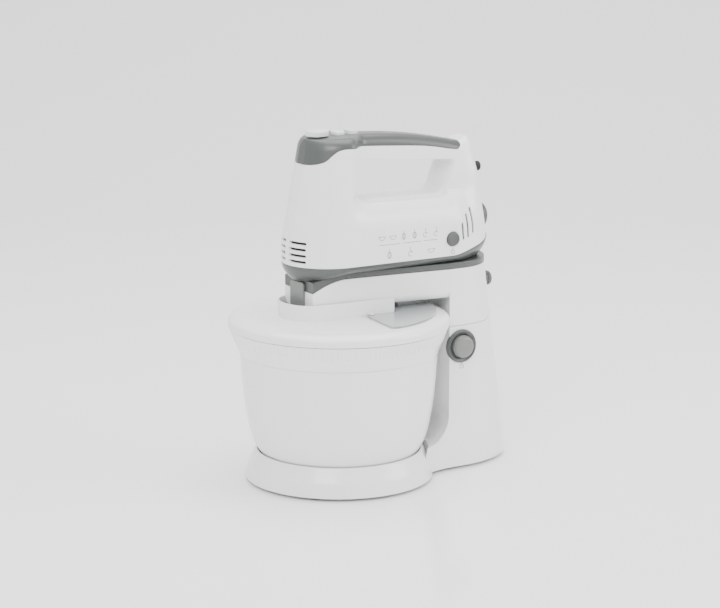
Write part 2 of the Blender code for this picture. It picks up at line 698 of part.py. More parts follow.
def make_beater(name, y):
    """One drive wheel with its socket, and the whisk in it."""
    at = (BEATER_X, y)
    wheel = solid("worm_wheel_" + name, turned(
        [(SHAFT_R + 0.3, 211), (SOCKET_R, 211), (SOCKET_R, 243.5), (0, 243.5),
         (0, 240), (SHAFT_R + 0.3, 240)], 20, at), "beater_" + name, "acetal")
    add(wheel, prism(shifted(gear(18, WHEEL_R, WHEEL_R - 1.4), at), 243, 256), "beater_" + name)
    shaft_top = 238.0
    stem = turned([(0, WHISK_LOW + 88), (SHAFT_R, WHISK_LOW + 88), (SHAFT_R, shaft_top - 2),
                    (1.6, shaft_top), (0, shaft_top)], 10, at)
    whisk = solid("whisk_" + name, stem, "beater_" + name, "steel")
    hub = WHISK_LOW + 86
    add(whisk, rod(at, 4.2, hub - 4, hub + 4, sides=10), "beater_" + name)
    for turn in (0, 1):
        add(whisk, whisk_loop(at, hub, math.radians(45 + 90 * turn), 0.35 * turn), "beater_" + name)


def whisk_loop(at, hub, angle, lift):
    """One wire loop: down from the hub, round the bottom and up again."""
    path = []
    for k in range(13):
        t = math.pi * k / 12
        drop = math.sin(t) ** 0.6 if k not in (0, 12) else 0.0
        out = -math.cos(t) * WHISK_R * min(1.0, 0.14 + 1.2 * drop) if k not in (0, 12) else \
            -math.cos(t) * 2.2
        z = hub - (hub - WHISK_LOW - lift) * drop
        path.append((at[0] + out * math.cos(angle), at[1] + out * math.sin(angle), z))
    return tube(path, 0.9, 5)


def make_pinion():
    at = (BEATER_X, -BEATER_Y)
    turn = 0.0 if IDLER_TEETH % 2 else math.pi / PINION_TEETH
    outline = gear(PINION_TEETH, PINION_R + TIP_DEPTH, PINION_R - ROOT_DEPTH, DRIVE_ANGLE + turn)
    pinion = solid("bowl_pinion", prism(shifted(outline, at), GEAR_LOW, GEAR_HIGH),
                   "beater_left", "acetal")
    cut(pinion, rod(at, SHAFT_R + GAP, 140, 170, sides=14), "beater_left")


# ---------------------------------------------------------------- arm

def make_arm():
    shell = solid("arm_shell", column_solid([SEAM_Z - 8, ARM_TOP - GAP]), "arm")
    keep(shell, above_seam(-0.25), "arm")
    add(shell, boom(), "arm")
    hollow = tool("arm_hollow", column_solid([SEAM_Z - 10, ARM_TOP + 9], ARM_WALL), "arm")
    combine(hollow, tool("arm_floor", above_seam(-ARM_WALL - 0.5), "arm"), 'INTERSECT')
    add(hollow, boom(ARM_WALL, 12.0, 8.0), "arm")
    for y in (-BEATER_Y, BEATER_Y):
        cut(shell, rod((BEATER_X, y), SOCKET_R + 0.6, ARM_LOW - 6, ARM_LOW + 9, sides=16), "arm")
    hx, hz = HINGE
    cut(shell, box((hx - 11, hx + 20), (-18, 18), (SEAM_Z - 6, hz - 2)), "arm")
    tx = TILT_AT[0]
    cut(shell, box((tx - 3, tx + 18), (-21, 1), (SEAM_Z - 6, SEAM_Z + 5)), "arm")
    back = column_back(KNOB_Z)
    cut(shell, rod((0, KNOB_Z), KNOB_R + RUN, back - 9, back + 9, 'X', 20), "arm")
    combine(shell, hollow)

    rear = column_back(ARM_TOP) - 0.2
    stations = [ARM_FRONT, -36, -27, -18, -8, 20, 60, 103, COLUMN_SIDE_X]
    stations += [COLUMN_SIDE_X + (rear - COLUMN_SIDE_X) * math.sin(math.pi / 2 * k / 6)
                 for k in range(1, 7)]
    trim = solid("arm_trim", slab(stations, arm_half, trim_low, trim_high), "arm", "dark_abs")
    for y in (-BEATER_Y, BEATER_Y):
        cut(trim, rod((BEATER_X, y), SOCKET_R + 1.4, ARM_LOW, TRIM_TOP + 9, sides=16), "arm")

    frame = solid("arm_frame", rod(HINGE, 9, -11.5, 11.5, 'Y', 20), "arm", "steel")
    add(frame, box((ARM_FRONT + 9, hx + 1), (-10, 10), (ARM_LOW + ARM_WALL + 1, hz + 12)), "arm")
    cut(frame, rod(HINGE, HINGE_R + GAP, -25, 25, 'Y', 20), "arm")
    hook = rounded((-15.5, 15.5), (ARM_LOW + 1, 204), 3)
    solid("front_hook", prism(hook, ARM_FRONT - 4.6, ARM_FRONT - GAP, 'X'), "arm", "grey_abs")


def make_knob():
    back = column_back(KNOB_Z)
    solid("rear_knob", turned(
        [(0, back - KNOB_IN), (KNOB_R, back - KNOB_IN), (KNOB_R, back + KNOB_OUT - 2),
         (KNOB_R - 1.5, back + KNOB_OUT - 0.2), (0, back + KNOB_OUT)], 24, (0, KNOB_Z), 'X'),
        "rear_knob", "dark_abs")
    face = back - KNOB_IN - GAP
    solid("handset_catch", prism([(face - 5, 186), (face, 186), (face, 201), (face - 3, 204),
                                  (face - 5, 201)], -9, 9, 'Y'), "rear_knob", "acetal")


# ---------------------------------------------------------------- handset

def make_handset():
    levels = [0.0, 0.24, 0.32, 0.4, 0.46, 0.5, 0.55, 0.6, 0.65, 0.8, 0.93, 0.98, 1.0]
    shell = solid("handset_shell", handset_body(levels), "handset")
    inner_levels = [-0.06] + levels[1:9] + [0.93, 1.0]
    hollow = tool("handset_hollow", handset_body(inner_levels, SHELL_WALL, edge=5.0), "handset")
    combine(hollow, tool("opening_wall", prism(opening_outline(SHELL_WALL), -60, 60, 'Y'),
                         "handset"))
    combine(shell, hollow)
    cut(shell, prism(opening_outline(), -70, 70, 'Y'), "handset")
    cut(shell, cap_region(GAP), "handset")
    px, pz = PORT_AT
    cut(shell, rod(PORT_AT, PORT_BUTTON_R + RUN, -60, -36, 'Y', 20), "handset")
    cut(shell, rod((0, MOTOR_Z), PORT_R + RUN, 150, 180, 'X', 20), "handset")
    cut(shell, rod((0, 300), 5 + GAP, 146, 180, 'X', 14), "handset")

    cover = solid("grip_cover", handset_body(levels[-5:], low=shell_low), "handset", "dark_abs")
    keep(cover, cap_region(), "handset")
    cover_hollow = tool("cover_hollow", handset_body([0.55, 0.94, 1.0], SHELL_WALL, edge=5.0),
                        "handset")
    combine(cover, cover_hollow)
    cut(cover, rod((SELECTOR_X, 0), 4 + RUN, 330, 360, sides=14), "handset")
    for x in (TURBO_X, EJECT_X):
        cut(cover, prism(rounded((x - 5.5, x + 5.5), (-7, 7), 2), 336, 360), "handset")

    tray_levels = [0.0, 0.4, 1.0]
    tray = solid("handset_bottom", tray_body(tray_levels), "handset", "dark_abs")
    cut(tray, tray_body([0.0, 1.0], TRAY_RIM, 3.0, 12.0), "handset")
    for y in (-BEATER_Y, BEATER_Y):
        cut(tray, rod((BEATER_X, y), SOCKET_R + 1.0, 200, 230, sides=16), "handset")
    solid("cord_gland", ring(5, 3.4, 148, 163.5, 14, (0, 300), 'X'), "handset", "rubber")


def tray_body(levels, inset=0.0, floor=0.0, rise=0.0, count=16):
    """The dark tray under the handset: a boat shape from the arm's top to the shell."""
    rings = []
    for level in levels:
        side = []
        tuck = inset + (0.0 if inset else 8.0 * (1 - level) ** 1.6)
        for k in range(count):
            t = 0.5 - 0.5 * math.cos(math.pi * k / (count - 1))
            x = nose_tip(SHELL_LOW) + tuck + (HANDSET_REAR - nose_tip(SHELL_LOW) - 2 * tuck) * t
            low, high = trim_high(x) + 1.5 * GAP + floor, shell_low(x) - GAP + rise
            z = low + (high - low) * level
            side.append((x, handset_half(x, SHELL_LOW, tuck), z))
        rings.append(side + [(x, -y, z) for x, y, z in reversed(side)])
    points, faces = loft(rings)
    faces = faces[2:]
    for base in (0, (len(rings) - 1) * 2 * count):
        for k in range(count - 1):
            faces.append((base + k, base + k + 1, base + 2 * count - 2 - k, base + 2 * count - 1 - k))
    return points, faces


def make_motor():
    axis = (0, MOTOR_Z)
    worm_r = BEATER_Y - WHEEL_R - 0.4
    solid("motor_shaft", turned(
        [(0, -51), (3, -51), (3, BEATER_X - 10), (worm_r, BEATER_X - 9), (worm_r, BEATER_X + 9),
         (3, BEATER_X + 10), (3, 146), (0, 146)], 12, axis, 'X'), "motor", "steel")
    solid("rotor_core", ring(13, 3 + GAP, 6, 48, 24, axis, 'X'), "motor", "laminated_iron")
    solid("commutator", ring(8, 3 + GAP, 54, 64, 16, axis, 'X'), "motor", "copper")
    blades = [(y, z + MOTOR_Z) for y, z in gear(11, 21, 8, root=TOOTH_TIP)]
    fan = solid("cooling_fan", prism(blades, 74, 83, 'X'), "motor", "acetal")
    cut(fan, rod(axis, 3 + GAP, 60, 100, 'X', 12), "motor")
    solid("motor_stator", ring(24.5, 14, 4, 50, 28, axis, 'X'), "handset", "laminated_iron")
    for name, x in (("front_bearing", -50), ("rear_bearing", 92)):
        solid(name, ring(8, 3 + RUN, x, x + 5, 16, axis, 'X'), "handset", "steel")
    for name, side in (("brush_left", -1), ("brush_right", 1)):
        near, far = sorted((side * 8.5, side * 17.0))
        solid(name, box((56, 62), (near, far), (MOTOR_Z - 3, MOTOR_Z + 3)), "handset", "carbon")
    plate = solid("gearbox_plate", prism(rounded((-41, -14), (-29.5, 29.5), 6), 226, 229),
                  "handset", "grey_abs")
    for y in (-BEATER_Y, BEATER_Y):
        cut(plate, rod((BEATER_X, y), SOCKET_R + RUN, 220, 235, sides=16), "handset")
    solid("circuit_board", box((90, 138), (-13, 13), (268, 269.6)), "handset", "board")


def make_controls():
    solid("speed_selector", turned(
        [(0, 334), (4, 334), (4, SHELL_TOP + 0.2), (SELECTOR_R, SHELL_TOP + 0.2),
         (SELECTOR_R, 349), (SELECTOR_R - 1.6, 350.4), (0, 350.6)], 24, (SELECTOR_X, 0)),
        "speed_selector", "pale_abs")
    solid("turbo_button", prism(rounded((TURBO_X - 5, TURBO_X + 5), (-6.5, 6.5), 1.8), 339.5, 347.5),
          "turbo_button", "pale_abs")
    solid("eject_button", prism(rounded((EJECT_X - 5, EJECT_X + 5), (-6.5, 6.5), 1.8), 338, 348.5),
          "eject_button", "pale_abs")
    push = solid("eject_plate", prism(rounded((-38, 1), (-27, 27), 8, 2), 264, 266.5),
                 "eject_button", "acetal")
    add(push, rod((-3, 0), 2.5, 265, 333, sides=10), "eject_button")
    add(push, box((-5, EJECT_X + 4), (-3, 3), (331, 334)), "eject_button")
    solid("eject_spring", coil((-3, 0), 4.2, 304, 328, 4, 'Z', 0.6), "eject_button", "steel")
    side = -NOSE_R
    solid("attachment_button", turned(
        [(0, side - 3), (PORT_BUTTON_R - 1.2, side - 2.6), (PORT_BUTTON_R, side - 1.2),
         (PORT_BUTTON_R, side + 6), (3, side + 6), (3, side + 14), (0, side + 14)], 20,
        PORT_AT, 'Y'), "attachment_button", "dark_abs")
    solid("attachment_spring", coil(PORT_AT, 4.2, side + 6.6, side + 14, 3, 'Y', 0.5),
          "attachment_button", "steel")
    solid("rear_port_cap", turned(
        [(0, 158), (PORT_R, 158), (PORT_R, 164), (PORT_R - 2, 168.2), (0, 168.6)], 24,
        (0, MOTOR_Z), 'X'), "port_cap", "dark_abs")


def main():
    for old in list(bpy.data.objects):
        bpy.data.objects.remove(old, do_unlink=True)
    body("stand")
    body("tilt_button", (TILT_AT[0], -COLUMN_HALF, TILT_AT[1]), "stand")
    body("bowl", (0, 0, 0), "stand")
    body("arm", (HINGE[0], 0, HINGE[1]), "stand")
    body("refill_flap", (*FLAP_PIVOT, LID_TOP), "arm")
    body("idler", (*IDLER_AT, GEAR_LOW), "arm")
    body("rear_knob", (column_back(KNOB_Z), 0, KNOB_Z), "arm")
    body("handset", (0, 0, TRIM_TOP), "arm")
    body("motor", (0, 0, MOTOR_Z), "handset")
    body("beater_left", (BEATER_X, -BEATER_Y, GEAR_LOW), "handset")
    body("beater_right", (BEATER_X, BEATER_Y, GEAR_LOW), "handset")
    body("speed_selector", (SELECTOR_X, 0, SHELL_TOP), "handset")
    body("turbo_button", (TURBO_X, 0, SHELL_TOP), "handset")
    body("eject_button", (EJECT_X, 0, SHELL_TOP), "handset")
    body("attachment_button", (PORT_AT[0], -NOSE_R, PORT_AT[1]), "handset")
    body("port_cap", (158, 0, MOTOR_Z), "handset")
    make_stand()
    make_tilt_button()
    make_bowl()
    make_lid()
    make_arm()
    make_knob()
    make_handset()
    make_motor()
    make_beater("left", -BEATER_Y)
    make_beater("right", BEATER_Y)
    make_pinion()
    make_controls()


main()
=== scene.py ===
"""Stand mixer: its finished surfaces, fitted to the solid parts that they stand for.

Shapes are worked out in millimetres from the bowl's axis at table level, with
-X the nose, +X the column and +Z up, and turned to metres as meshes are made.
"""

import json
import math

import bmesh
import bpy
from bpy.props import FloatProperty, FloatVectorProperty, IntProperty, PointerProperty
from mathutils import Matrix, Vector


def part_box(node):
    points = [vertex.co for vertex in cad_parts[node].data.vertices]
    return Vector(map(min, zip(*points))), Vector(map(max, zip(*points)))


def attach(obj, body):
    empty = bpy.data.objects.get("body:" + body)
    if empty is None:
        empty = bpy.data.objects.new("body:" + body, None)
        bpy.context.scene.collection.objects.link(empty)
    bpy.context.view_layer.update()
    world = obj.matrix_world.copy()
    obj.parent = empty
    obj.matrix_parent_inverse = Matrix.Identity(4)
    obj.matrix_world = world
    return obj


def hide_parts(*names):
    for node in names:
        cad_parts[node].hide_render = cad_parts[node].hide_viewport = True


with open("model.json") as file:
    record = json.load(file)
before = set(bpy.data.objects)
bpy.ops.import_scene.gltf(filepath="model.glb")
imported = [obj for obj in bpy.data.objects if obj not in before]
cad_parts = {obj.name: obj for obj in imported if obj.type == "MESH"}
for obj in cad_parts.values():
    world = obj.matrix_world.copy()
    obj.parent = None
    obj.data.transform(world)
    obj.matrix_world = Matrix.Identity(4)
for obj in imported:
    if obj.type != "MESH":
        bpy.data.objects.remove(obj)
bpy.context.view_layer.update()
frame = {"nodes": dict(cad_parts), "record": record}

bl_info = {
    "name": "Stand Mixer",
    "version": (1, 0, 0),
    "blender": (4, 5, 0),
    "location": "3D View > Sidebar > Stand Mixer",
    "description": "Builds the housings, bowl, lid, whisks and printed marks of a stand mixer",
    "category": "Object",
}

MM = 0.001
AXIS_X = sum(corner.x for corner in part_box("bowl")) / 2


def span(node, axis):
    """The lowest and highest place of a CAD node along X, Y or Z, in mm."""
    number = "XYZ".index(axis)
    shift = AXIS_X if axis == "X" else 0.0
    return tuple((corner[number] - shift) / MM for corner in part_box(node))


def middle(node, axis):
    return sum(span(node, axis)) / 2


# Gaps
GAP = 0.35             # seams between fixed pieces
RUN = 0.5              # round pieces that move

# Base and column
FOOT_H = span("base_shell", "Z")[0]
BASE_R = -span("base_shell", "X")[0]
FOOT_REAR = span("base_shell", "X")[1]
COLUMN_HALF = 42.0
COLUMN_SIDE_X = 120.0
COLUMN_TAPER = 1.15    # draws the round back in towards its tip
COLUMN_FLARE_Z = 58.0
COLUMN_FLARE = 18.0
COLUMN_LEAN = 0.16
BASE_WALL = 2.8
SEAT_R = 81.5
SEAT_LIP_Z = 31.0
SEAT_FLOOR_Z = 17.0
NOTCH_X = (158.0, 190.0)   # through the column's rear wall, for the rear knob

# Bowl and lid
BOWL_R = span("bowl", "Y")[1]
BOWL_FOOT, BOWL_HUB = span("bowl", "Z")[0], span("bowl", "Z")[0] + 15
BOWL_TOP = span("bowl", "Z")[1]
BOWL_WALL = 2.2
RING_R = span("bowl_ring", "Y")[1]
RING_LOW, RING_TOP = span("bowl_ring", "Z")
LID_R = span("lid", "Y")[1]
LID_RIM_LOW, COLLAR_TOP = span("lid", "Z")
FLAP_LOW, FLAP_HIGH = span("refill_flap", "Z")
LID_TOP = FLAP_LOW - GAP
LID_WALL = 2.5
COLLAR_WALL = 1.7
COLLAR_HALF = 31.0
COLLAR_FRONT = 63.0
COLLAR_END = 41.0
FLAP_R = 96.0
FLAP_BOSS_R = 4.0
FLAP_PIVOT = (middle("flap_pin", "X"), middle("flap_pin", "Y"))
FRONT_R = LID_R + 2.0

# Arm
HINGE = (middle("hinge_pin", "X"), middle("hinge_pin", "Z"))
SEAM_R = 23.5
TILT = math.radians(35)
ARM_FRONT = span("arm_trim", "X")[0]
ARM_NOSE_HALF = 27.5
ARM_LOW = 177.0
ARM_WALL = 2.6
HOOK_HALF = 12.5
TRIM_TOP = span("arm_trim", "Z")[1]
ARM_TOP = TRIM_TOP - 6.0
SEAM_Z = HINGE[1] - SEAM_R

# Handset
SHELL_LOW = 221.0
SHELL_TOP = 344.5
SHELL_WALL = 2.6
NOSE_R = 45.0
NOSE_TIP = span("handset_bottom", "X")[0]
HANDSET_REAR = span("handset_bottom", "X")[1] - 3.0
HANDLE_HALF = 18.0
CROWN = 10.0           # rounding along the top of the handle
TRAY_RIM = 6.5
VENT_TOP, VENT_PITCH = 244.2, 6.0
# Heights of the dark sheets of painted shade behind the nose vents and the side slots
NOSE_SHADE_Z = (222.0, 249.0)
SLOT_SHADE_Z = (232.0, 266.0)
REAR_HOLES_END = 180.0     # past the handset's back
GRIP_END = 131.0       # where the grip meets the rear post

# Drive
BEATER_X = middle("whisk_left", "X")
BEATER_Y = -middle("whisk_left", "Y")
SHAFT_R = 2.7
WHISK_WIRE_H = 86.0    # the loops, from their lowest point to the collar
SHAFT_TOP = span("whisk_left", "Z")[1]
WHISK_LOW = span("whisk_left", "Z")[0]
WHISK_R = 17.0
RING_TEETH = 74
RING_PITCH_R = 92.5
TOOTH_TIP, TOOTH_ROOT = 0.25, 0.56

# Buttons
TILT_AT = (middle("tilt_ring", "X"), middle("tilt_ring", "Z"))
TILT_RING_R = (span("tilt_ring", "X")[1] - span("tilt_ring", "X")[0]) / 2
TILT_R = 11.5
KNOB_BACK, KNOB_TIP = span("rear_knob", "X")
KNOB_Z = middle("rear_knob", "Z")
KNOB_R = span("rear_knob", "Y")[1]
SELECTOR_R = span("speed_selector", "Y")[1]
SELECTOR_X = middle("speed_selector", "X")
TURBO_X = middle("turbo_button", "X")
KEY_HALF = (5.0, span("turbo_button", "Y")[1])
KEY_H = 8.0
EJECT_X = TURBO_X + 15.0
PORT_AT = (middle("attachment_button", "X"), middle("attachment_button", "Z"))
PORT_BUTTON_R = 7.0
CAP_X = span("rear_port_cap", "X")
CAP_R = span("rear_port_cap", "Y")[1]
CAP_Z = middle("rear_port_cap", "Z")

FINE = 144             # sides of the large turned pieces

# Printed marks: their rows and spacing on the handset's side
MARKS_HIGH_Z, MARKS_LINE_Z, MARKS_LOW_Z = 246.0, 239.4, 228.8
MARKS_HIGH_PITCH, MARKS_LOW_PITCH = 12.4, 24.0

# Stage, in metres
CAMERA_AT = (-1.2212 + AXIS_X, -2.0732, 0.7001)
CAMERA_TURN = math.radians(-31.0)
CAMERA_TILT = math.radians(12.3)
CAMERA_LENS, CAMERA_SENSOR = 125.0, 36.0
LIT_POINT = (0.0, 0.0, 0.17)
LAMPS = (("key", (-1.5, -1.3, 1.6), 1.2, 40), ("fill", (1.8, -1.5, 1.1), 1.4, 40),
         ("top", (0.1, 0.2, 2.0), 1.8, 52))
WORLD_STRENGTH = 1.2
FLOOR_HALF = 5.0
FLOOR_NEAR, FLOOR_BEND, FLOOR_BEND_R = -4.0, 1.4, 1.2
BACKDROP_TOP = 4.0


def linear(code):
    """An sRGB hex colour as the linear RGB that shaders and lamps take."""
    parts = [int(code[k:k + 2], 16) / 255 for k in (1, 3, 5)]
    return tuple(p / 12.92 if p <= 0.04045 else ((p + 0.055) / 1.055) ** 2.4 for p in parts)


# ---------------------------------------------------------------- settings

class MixerSizes(bpy.types.PropertyGroup):
    """Sizes of details that only the finished surfaces have."""

    rib_count: IntProperty(name="Grip ribs", description="Ribs round the bowl's ring",
                           default=144, min=24, max=220)
    rib_depth: FloatProperty(name="Rib depth", description="How far a rib stands out",
                             default=0.9 * MM, min=0.0, max=2 * MM, precision=5,
                             subtype='DISTANCE', unit='LENGTH')
    vent_count: IntProperty(name="Nose vents", description="Slots on each side of the nose",
                            default=4, min=1, max=6)
    vent_height: FloatProperty(name="Vent height", description="Height of one nose slot",
                               default=2.6 * MM, min=MM, max=4 * MM, precision=5,
                               subtype='DISTANCE', unit='LENGTH')
    slot_width: FloatProperty(name="Side slot width", description="Width of one side slot",
                              default=2.6 * MM, min=MM, max=4 * MM, precision=5,
                              subtype='DISTANCE', unit='LENGTH')
    wire_radius: FloatProperty(name="Whisk wire", description="Radius of the whisks' wire",
                               default=0.9 * MM, min=0.5 * MM, max=1.5 * MM, precision=5,
                               subtype='DISTANCE', unit='LENGTH')
    mark_width: FloatProperty(name="Printed line", description="Width of the printed lines",
                              default=0.5 * MM, min=0.1 * MM, max=MM, precision=5,
                              subtype='DISTANCE', unit='LENGTH')


class MixerColours(bpy.types.PropertyGroup):
    """Colours of the mouldings, as linear RGB."""

    white: FloatVectorProperty(name="Housings", description="Gloss white mouldings",
                               subtype='COLOR', default=linear("#EFF0F0"), min=0, max=1)
    pale: FloatVectorProperty(name="Pale keys", description="Buttons on top of the handle",
                              subtype='COLOR', default=linear("#E2E4E5"), min=0, max=1)
    dark: FloatVectorProperty(name="Dark trim", description="Grip, tray and arm trim",
                              subtype='COLOR', default=linear("#484C4A"), min=0, max=1)
    grey: FloatVectorProperty(name="Mid grey", description="Front hook and tilt button",
                              subtype='COLOR', default=linear("#727572"), min=0, max=1)
    flap: FloatVectorProperty(name="Refill flap", description="Clear grey flap in the lid",
                              subtype='COLOR', default=linear("#C3C7C9"), min=0, max=1)
    floor: FloatVectorProperty(name="Floor", description="Pale studio floor",
                               subtype='COLOR', default=linear("#F8F8F7"), min=0, max=1)


# ---------------------------------------------------------------- materials

def put(tree, kind, inputs=None, links=None, **settings):
    """Adds one shader node with its settings, fixed inputs and linked inputs."""
    made = tree.nodes.new(kind)
    for name, value in settings.items():
        setattr(made, name, value)
    for name, value in (inputs or {}).items():
        made.inputs[name].default_value = value
    for name, output in (links or {}).items():
        tree.links.new(output, made.inputs[name])
    return made


def blank(name):
    """A new material with only its shader and output, and object coordinates."""
    made = bpy.data.materials.new(name)
    made.use_nodes = True
    tree = made.node_tree
    return made, tree, tree.nodes["Principled BSDF"], put(tree, "ShaderNodeTexCoord")


def per_mm(size):
    """The texture scale that makes a pattern repeat at a size in millimetres."""
    return 1.0 / (size * MM)


def moulded(name, colour, rough, grain, depth, edge=0.5, coat=0.0):
    """Injection-moulded plastic: a mould's grain, faint flow shading, soft edges."""
    made, tree, shader, place = blank(name)
    flow = put(tree, "ShaderNodeTexNoise", {"Scale": per_mm(55), "Detail": 2.0},
               {"Vector": place.outputs["Object"]})
    shade = put(tree, "ShaderNodeMapRange", {"To Min": 0.965, "To Max": 1.0},
                {"Value": flow.outputs["Fac"]})
    tint = put(tree, "ShaderNodeHueSaturation", {"Color": (*colour, 1.0)},
               {"Value": shade.outputs["Result"]})
    tree.links.new(tint.outputs["Color"], shader.inputs["Base Color"])
    peel = put(tree, "ShaderNodeTexNoise", {"Scale": per_mm(grain), "Detail": 3.0},
               {"Vector": place.outputs["Object"]})
    handled = put(tree, "ShaderNodeTexNoise", {"Scale": per_mm(18), "Detail": 4.0},
                  {"Vector": place.outputs["Object"]})
    gloss = put(tree, "ShaderNodeMapRange", {"From Min": 0.3, "From Max": 0.7,
                                             "To Min": rough * 0.85, "To Max": rough * 1.2},
                {"Value": handled.outputs["Fac"]})
    tree.links.new(gloss.outputs["Result"], shader.inputs["Roughness"])
    corner = put(tree, "ShaderNodeBevel", {"Radius": edge * MM}, samples=4)
    bump = put(tree, "ShaderNodeBump", {"Strength": 0.5, "Distance": depth * MM},
               {"Height": peel.outputs["Fac"], "Normal": corner.outputs["Normal"]})
    tree.links.new(bump.outputs["Normal"], shader.inputs["Normal"])
    shader.inputs["IOR"].default_value = 1.53
    shader.inputs["Coat Weight"].default_value = coat
    return made


def gloss_white_abs(colours):
    # ABS from a polished mould: wide, clean highlights with a trace of ripple.
    return moulded("gloss_white_abs_moulded", colours.white, 0.2, 3.0, 0.012)


def pale_key_abs(colours):
    # ABS keys from a satin mould: softer highlights than the housings.
    return moulded("pale_satin_abs_moulded", colours.pale, 0.32, 1.2, 0.012)


def dark_grained_abs(colours):
    # ABS from a spark-eroded mould: a fine even grain that breaks highlights up.
    # The real grain is about 0.2 mm; it is drawn at 0.6 mm so that it shows.
    return moulded("dark_grained_abs_moulded", colours.dark, 0.32, 0.6, 0.05)


def grey_satin_abs(colours):
    # Mid-grey ABS, satin moulded.
    return moulded("grey_satin_abs_moulded", colours.grey, 0.38, 0.8, 0.03)


def acetal_gears(colours):
    # Acetal: waxy white, slightly cloudy, satin where the tool cut the cavity.
    return moulded("white_acetal_moulded", linear("#E6E5DF"), 0.42, 0.9, 0.02)


def rubber_feet(colours):
    # Black rubber, pressed: dull, with a dusty bloom.
    return moulded("black_rubber_pressed", linear("#2B2B2B"), 0.78, 0.5, 0.06)


def carbon_brushes(colours):
    # Pressed carbon: matt, fine-grained and almost black.
    return moulded("carbon_pressed", linear("#262626"), 0.7, 0.3, 0.04)


def board_laminate(colours):
    # Glass-cloth laminate, woven at 0.8 mm and lacquered green.
    made, tree, shader, place = blank("green_glass_laminate_woven")
    weave = put(tree, "ShaderNodeTexChecker", {"Scale": per_mm(0.8),
                                               "Color1": (*linear("#2E6B45"), 1.0),
                                               "Color2": (*linear("#28613E"), 1.0)},
                {"Vector": place.outputs["Object"]})
    tree.links.new(weave.outputs["Color"], shader.inputs["Base Color"])
    shader.inputs["Roughness"].default_value = 0.35
    return made


def clear_flap(colours):
    # Styrene-acrylonitrile, moulded clear grey: shiny, part see-through.
    made, tree, shader, place = blank("clear_grey_san_moulded")
    haze = put(tree, "ShaderNodeTexNoise", {"Scale": per_mm(12), "Detail": 2.0},
               {"Vector": place.outputs["Object"]})
    gloss = put(tree, "ShaderNodeMapRange", {"To Min": 0.08, "To Max": 0.2},
                {"Value": haze.outputs["Fac"]})
    tree.links.new(gloss.outputs["Result"], shader.inputs["Roughness"])
    corner = put(tree, "ShaderNodeBevel", {"Radius": 0.4 * MM}, samples=4)
    tree.links.new(corner.outputs["Normal"], shader.inputs["Normal"])
    shader.inputs["Base Color"].default_value = (*colours.flap, 1.0)
    shader.inputs["IOR"].default_value = 1.57
    shader.inputs["Transmission Weight"].default_value = 0.35
    return made


def metal(name, colour, rough, grain, depth, stretch=(1, 1, 1)):
    """Bare metal: its tint, with fine marks drawn out along one direction."""
    made, tree, shader, place = blank(name)
    drawn = put(tree, "ShaderNodeMapping", {"Scale": stretch},
                {"Vector": place.outputs["Object"]})
    marks = put(tree, "ShaderNodeTexNoise", {"Scale": per_mm(grain), "Detail": 3.0},
                {"Vector": drawn.outputs["Vector"]})
    gloss = put(tree, "ShaderNodeMapRange", {"From Min": 0.3, "From Max": 0.7,
                                             "To Min": rough * 0.7, "To Max": rough * 1.3},
                {"Value": marks.outputs["Fac"]})
    tree.links.new(gloss.outputs["Result"], shader.inputs["Roughness"])
    bump = put(tree, "ShaderNodeBump", {"Strength": 0.4, "Distance": depth * MM},
               {"Height": marks.outputs["Fac"]})
    tree.links.new(bump.outputs["Normal"], shader.inputs["Normal"])
    shader.inputs["Base Color"].default_value = (*colour, 1.0)
    shader.inputs["Metallic"].default_value = 1.0
    return made


def drawn_steel(colours):
    # Stainless wire and turned pins: bright, with lines along the draw.
    return metal("stainless_steel_drawn", linear("#D2D4D6"), 0.18, 0.6, 0.01, (1, 1, 0.1))


def iron_laminations(colours):
    # Stacked iron sheets 0.5 mm thick: dull grey rings round the shaft.
    return metal("iron_sheets_stacked", linear("#7E8083"), 0.5, 0.5, 0.06, (1, 0.02, 0.02))


def copper_bars(colours):
    # Hard-drawn copper, skimmed smooth by the brushes.
    return metal("copper_turned", linear("#C98A63"), 0.28, 0.5, 0.02, (0.05, 1, 1))


def printed_ink():
    # Pad-printed grey ink: thin, matt and a little uneven.
    return moulded("grey_ink_printed", linear("#6E7274"), 0.6, 0.6, 0.01, 0.05)


def painted_vent_shade():
    # Painted shade: a dark matt sheet behind the vents stands for the shade inside the housing, with a
    # bump of 1.2 mm cells.
    made, tree, shader, place = blank("painted_vent_shade_matt")
    cells = put(tree, "ShaderNodeTexVoronoi", {"Scale": per_mm(1.2)},
                {"Vector": place.outputs["Object"]})
    bump = put(tree, "ShaderNodeBump", {"Strength": 0.8, "Distance": 0.3 * MM},
               {"Height": cells.outputs["Distance"]})
    tree.links.new(bump.outputs["Normal"], shader.inputs["Normal"])
    shader.inputs["Base Color"].default_value = (*linear("#2E3030"), 1.0)
    shader.inputs["Roughness"].default_value = 0.9
    return made


FINISHES = {
    "white_abs": gloss_white_abs,
    "pale_abs": pale_key_abs,
    "dark_abs": dark_grained_abs,
    "grey_abs": grey_satin_abs,
    "flap_plastic": clear_flap,
    "acetal": acetal_gears,
    "steel": drawn_steel,
    "rubber": rubber_feet,
    "laminated_iron": iron_laminations,
    "copper": copper_bars,
    "carbon": carbon_brushes,
    "board": board_laminate,
}
MADE = {}


def finish(slot, colours):
    """The material for a slot of the record, made once."""
    if slot not in MADE:
        MADE[slot] = FINISHES[slot](colours)
    return MADE[slot]


# ---------------------------------------------------------------- mesh tools

def solid(name, shape):
    """An object from (points, faces) in millimetres."""
    points, faces = shape
    mesh = bpy.data.meshes.new(name)
    mesh.from_pydata([(x * MM + AXIS_X, y * MM, z * MM) for x, y, z in points], [], faces)
    made = bpy.data.objects.new(name, mesh)
    bpy.context.scene.collection.objects.link(made)
    tidy_faces(mesh)
    return made


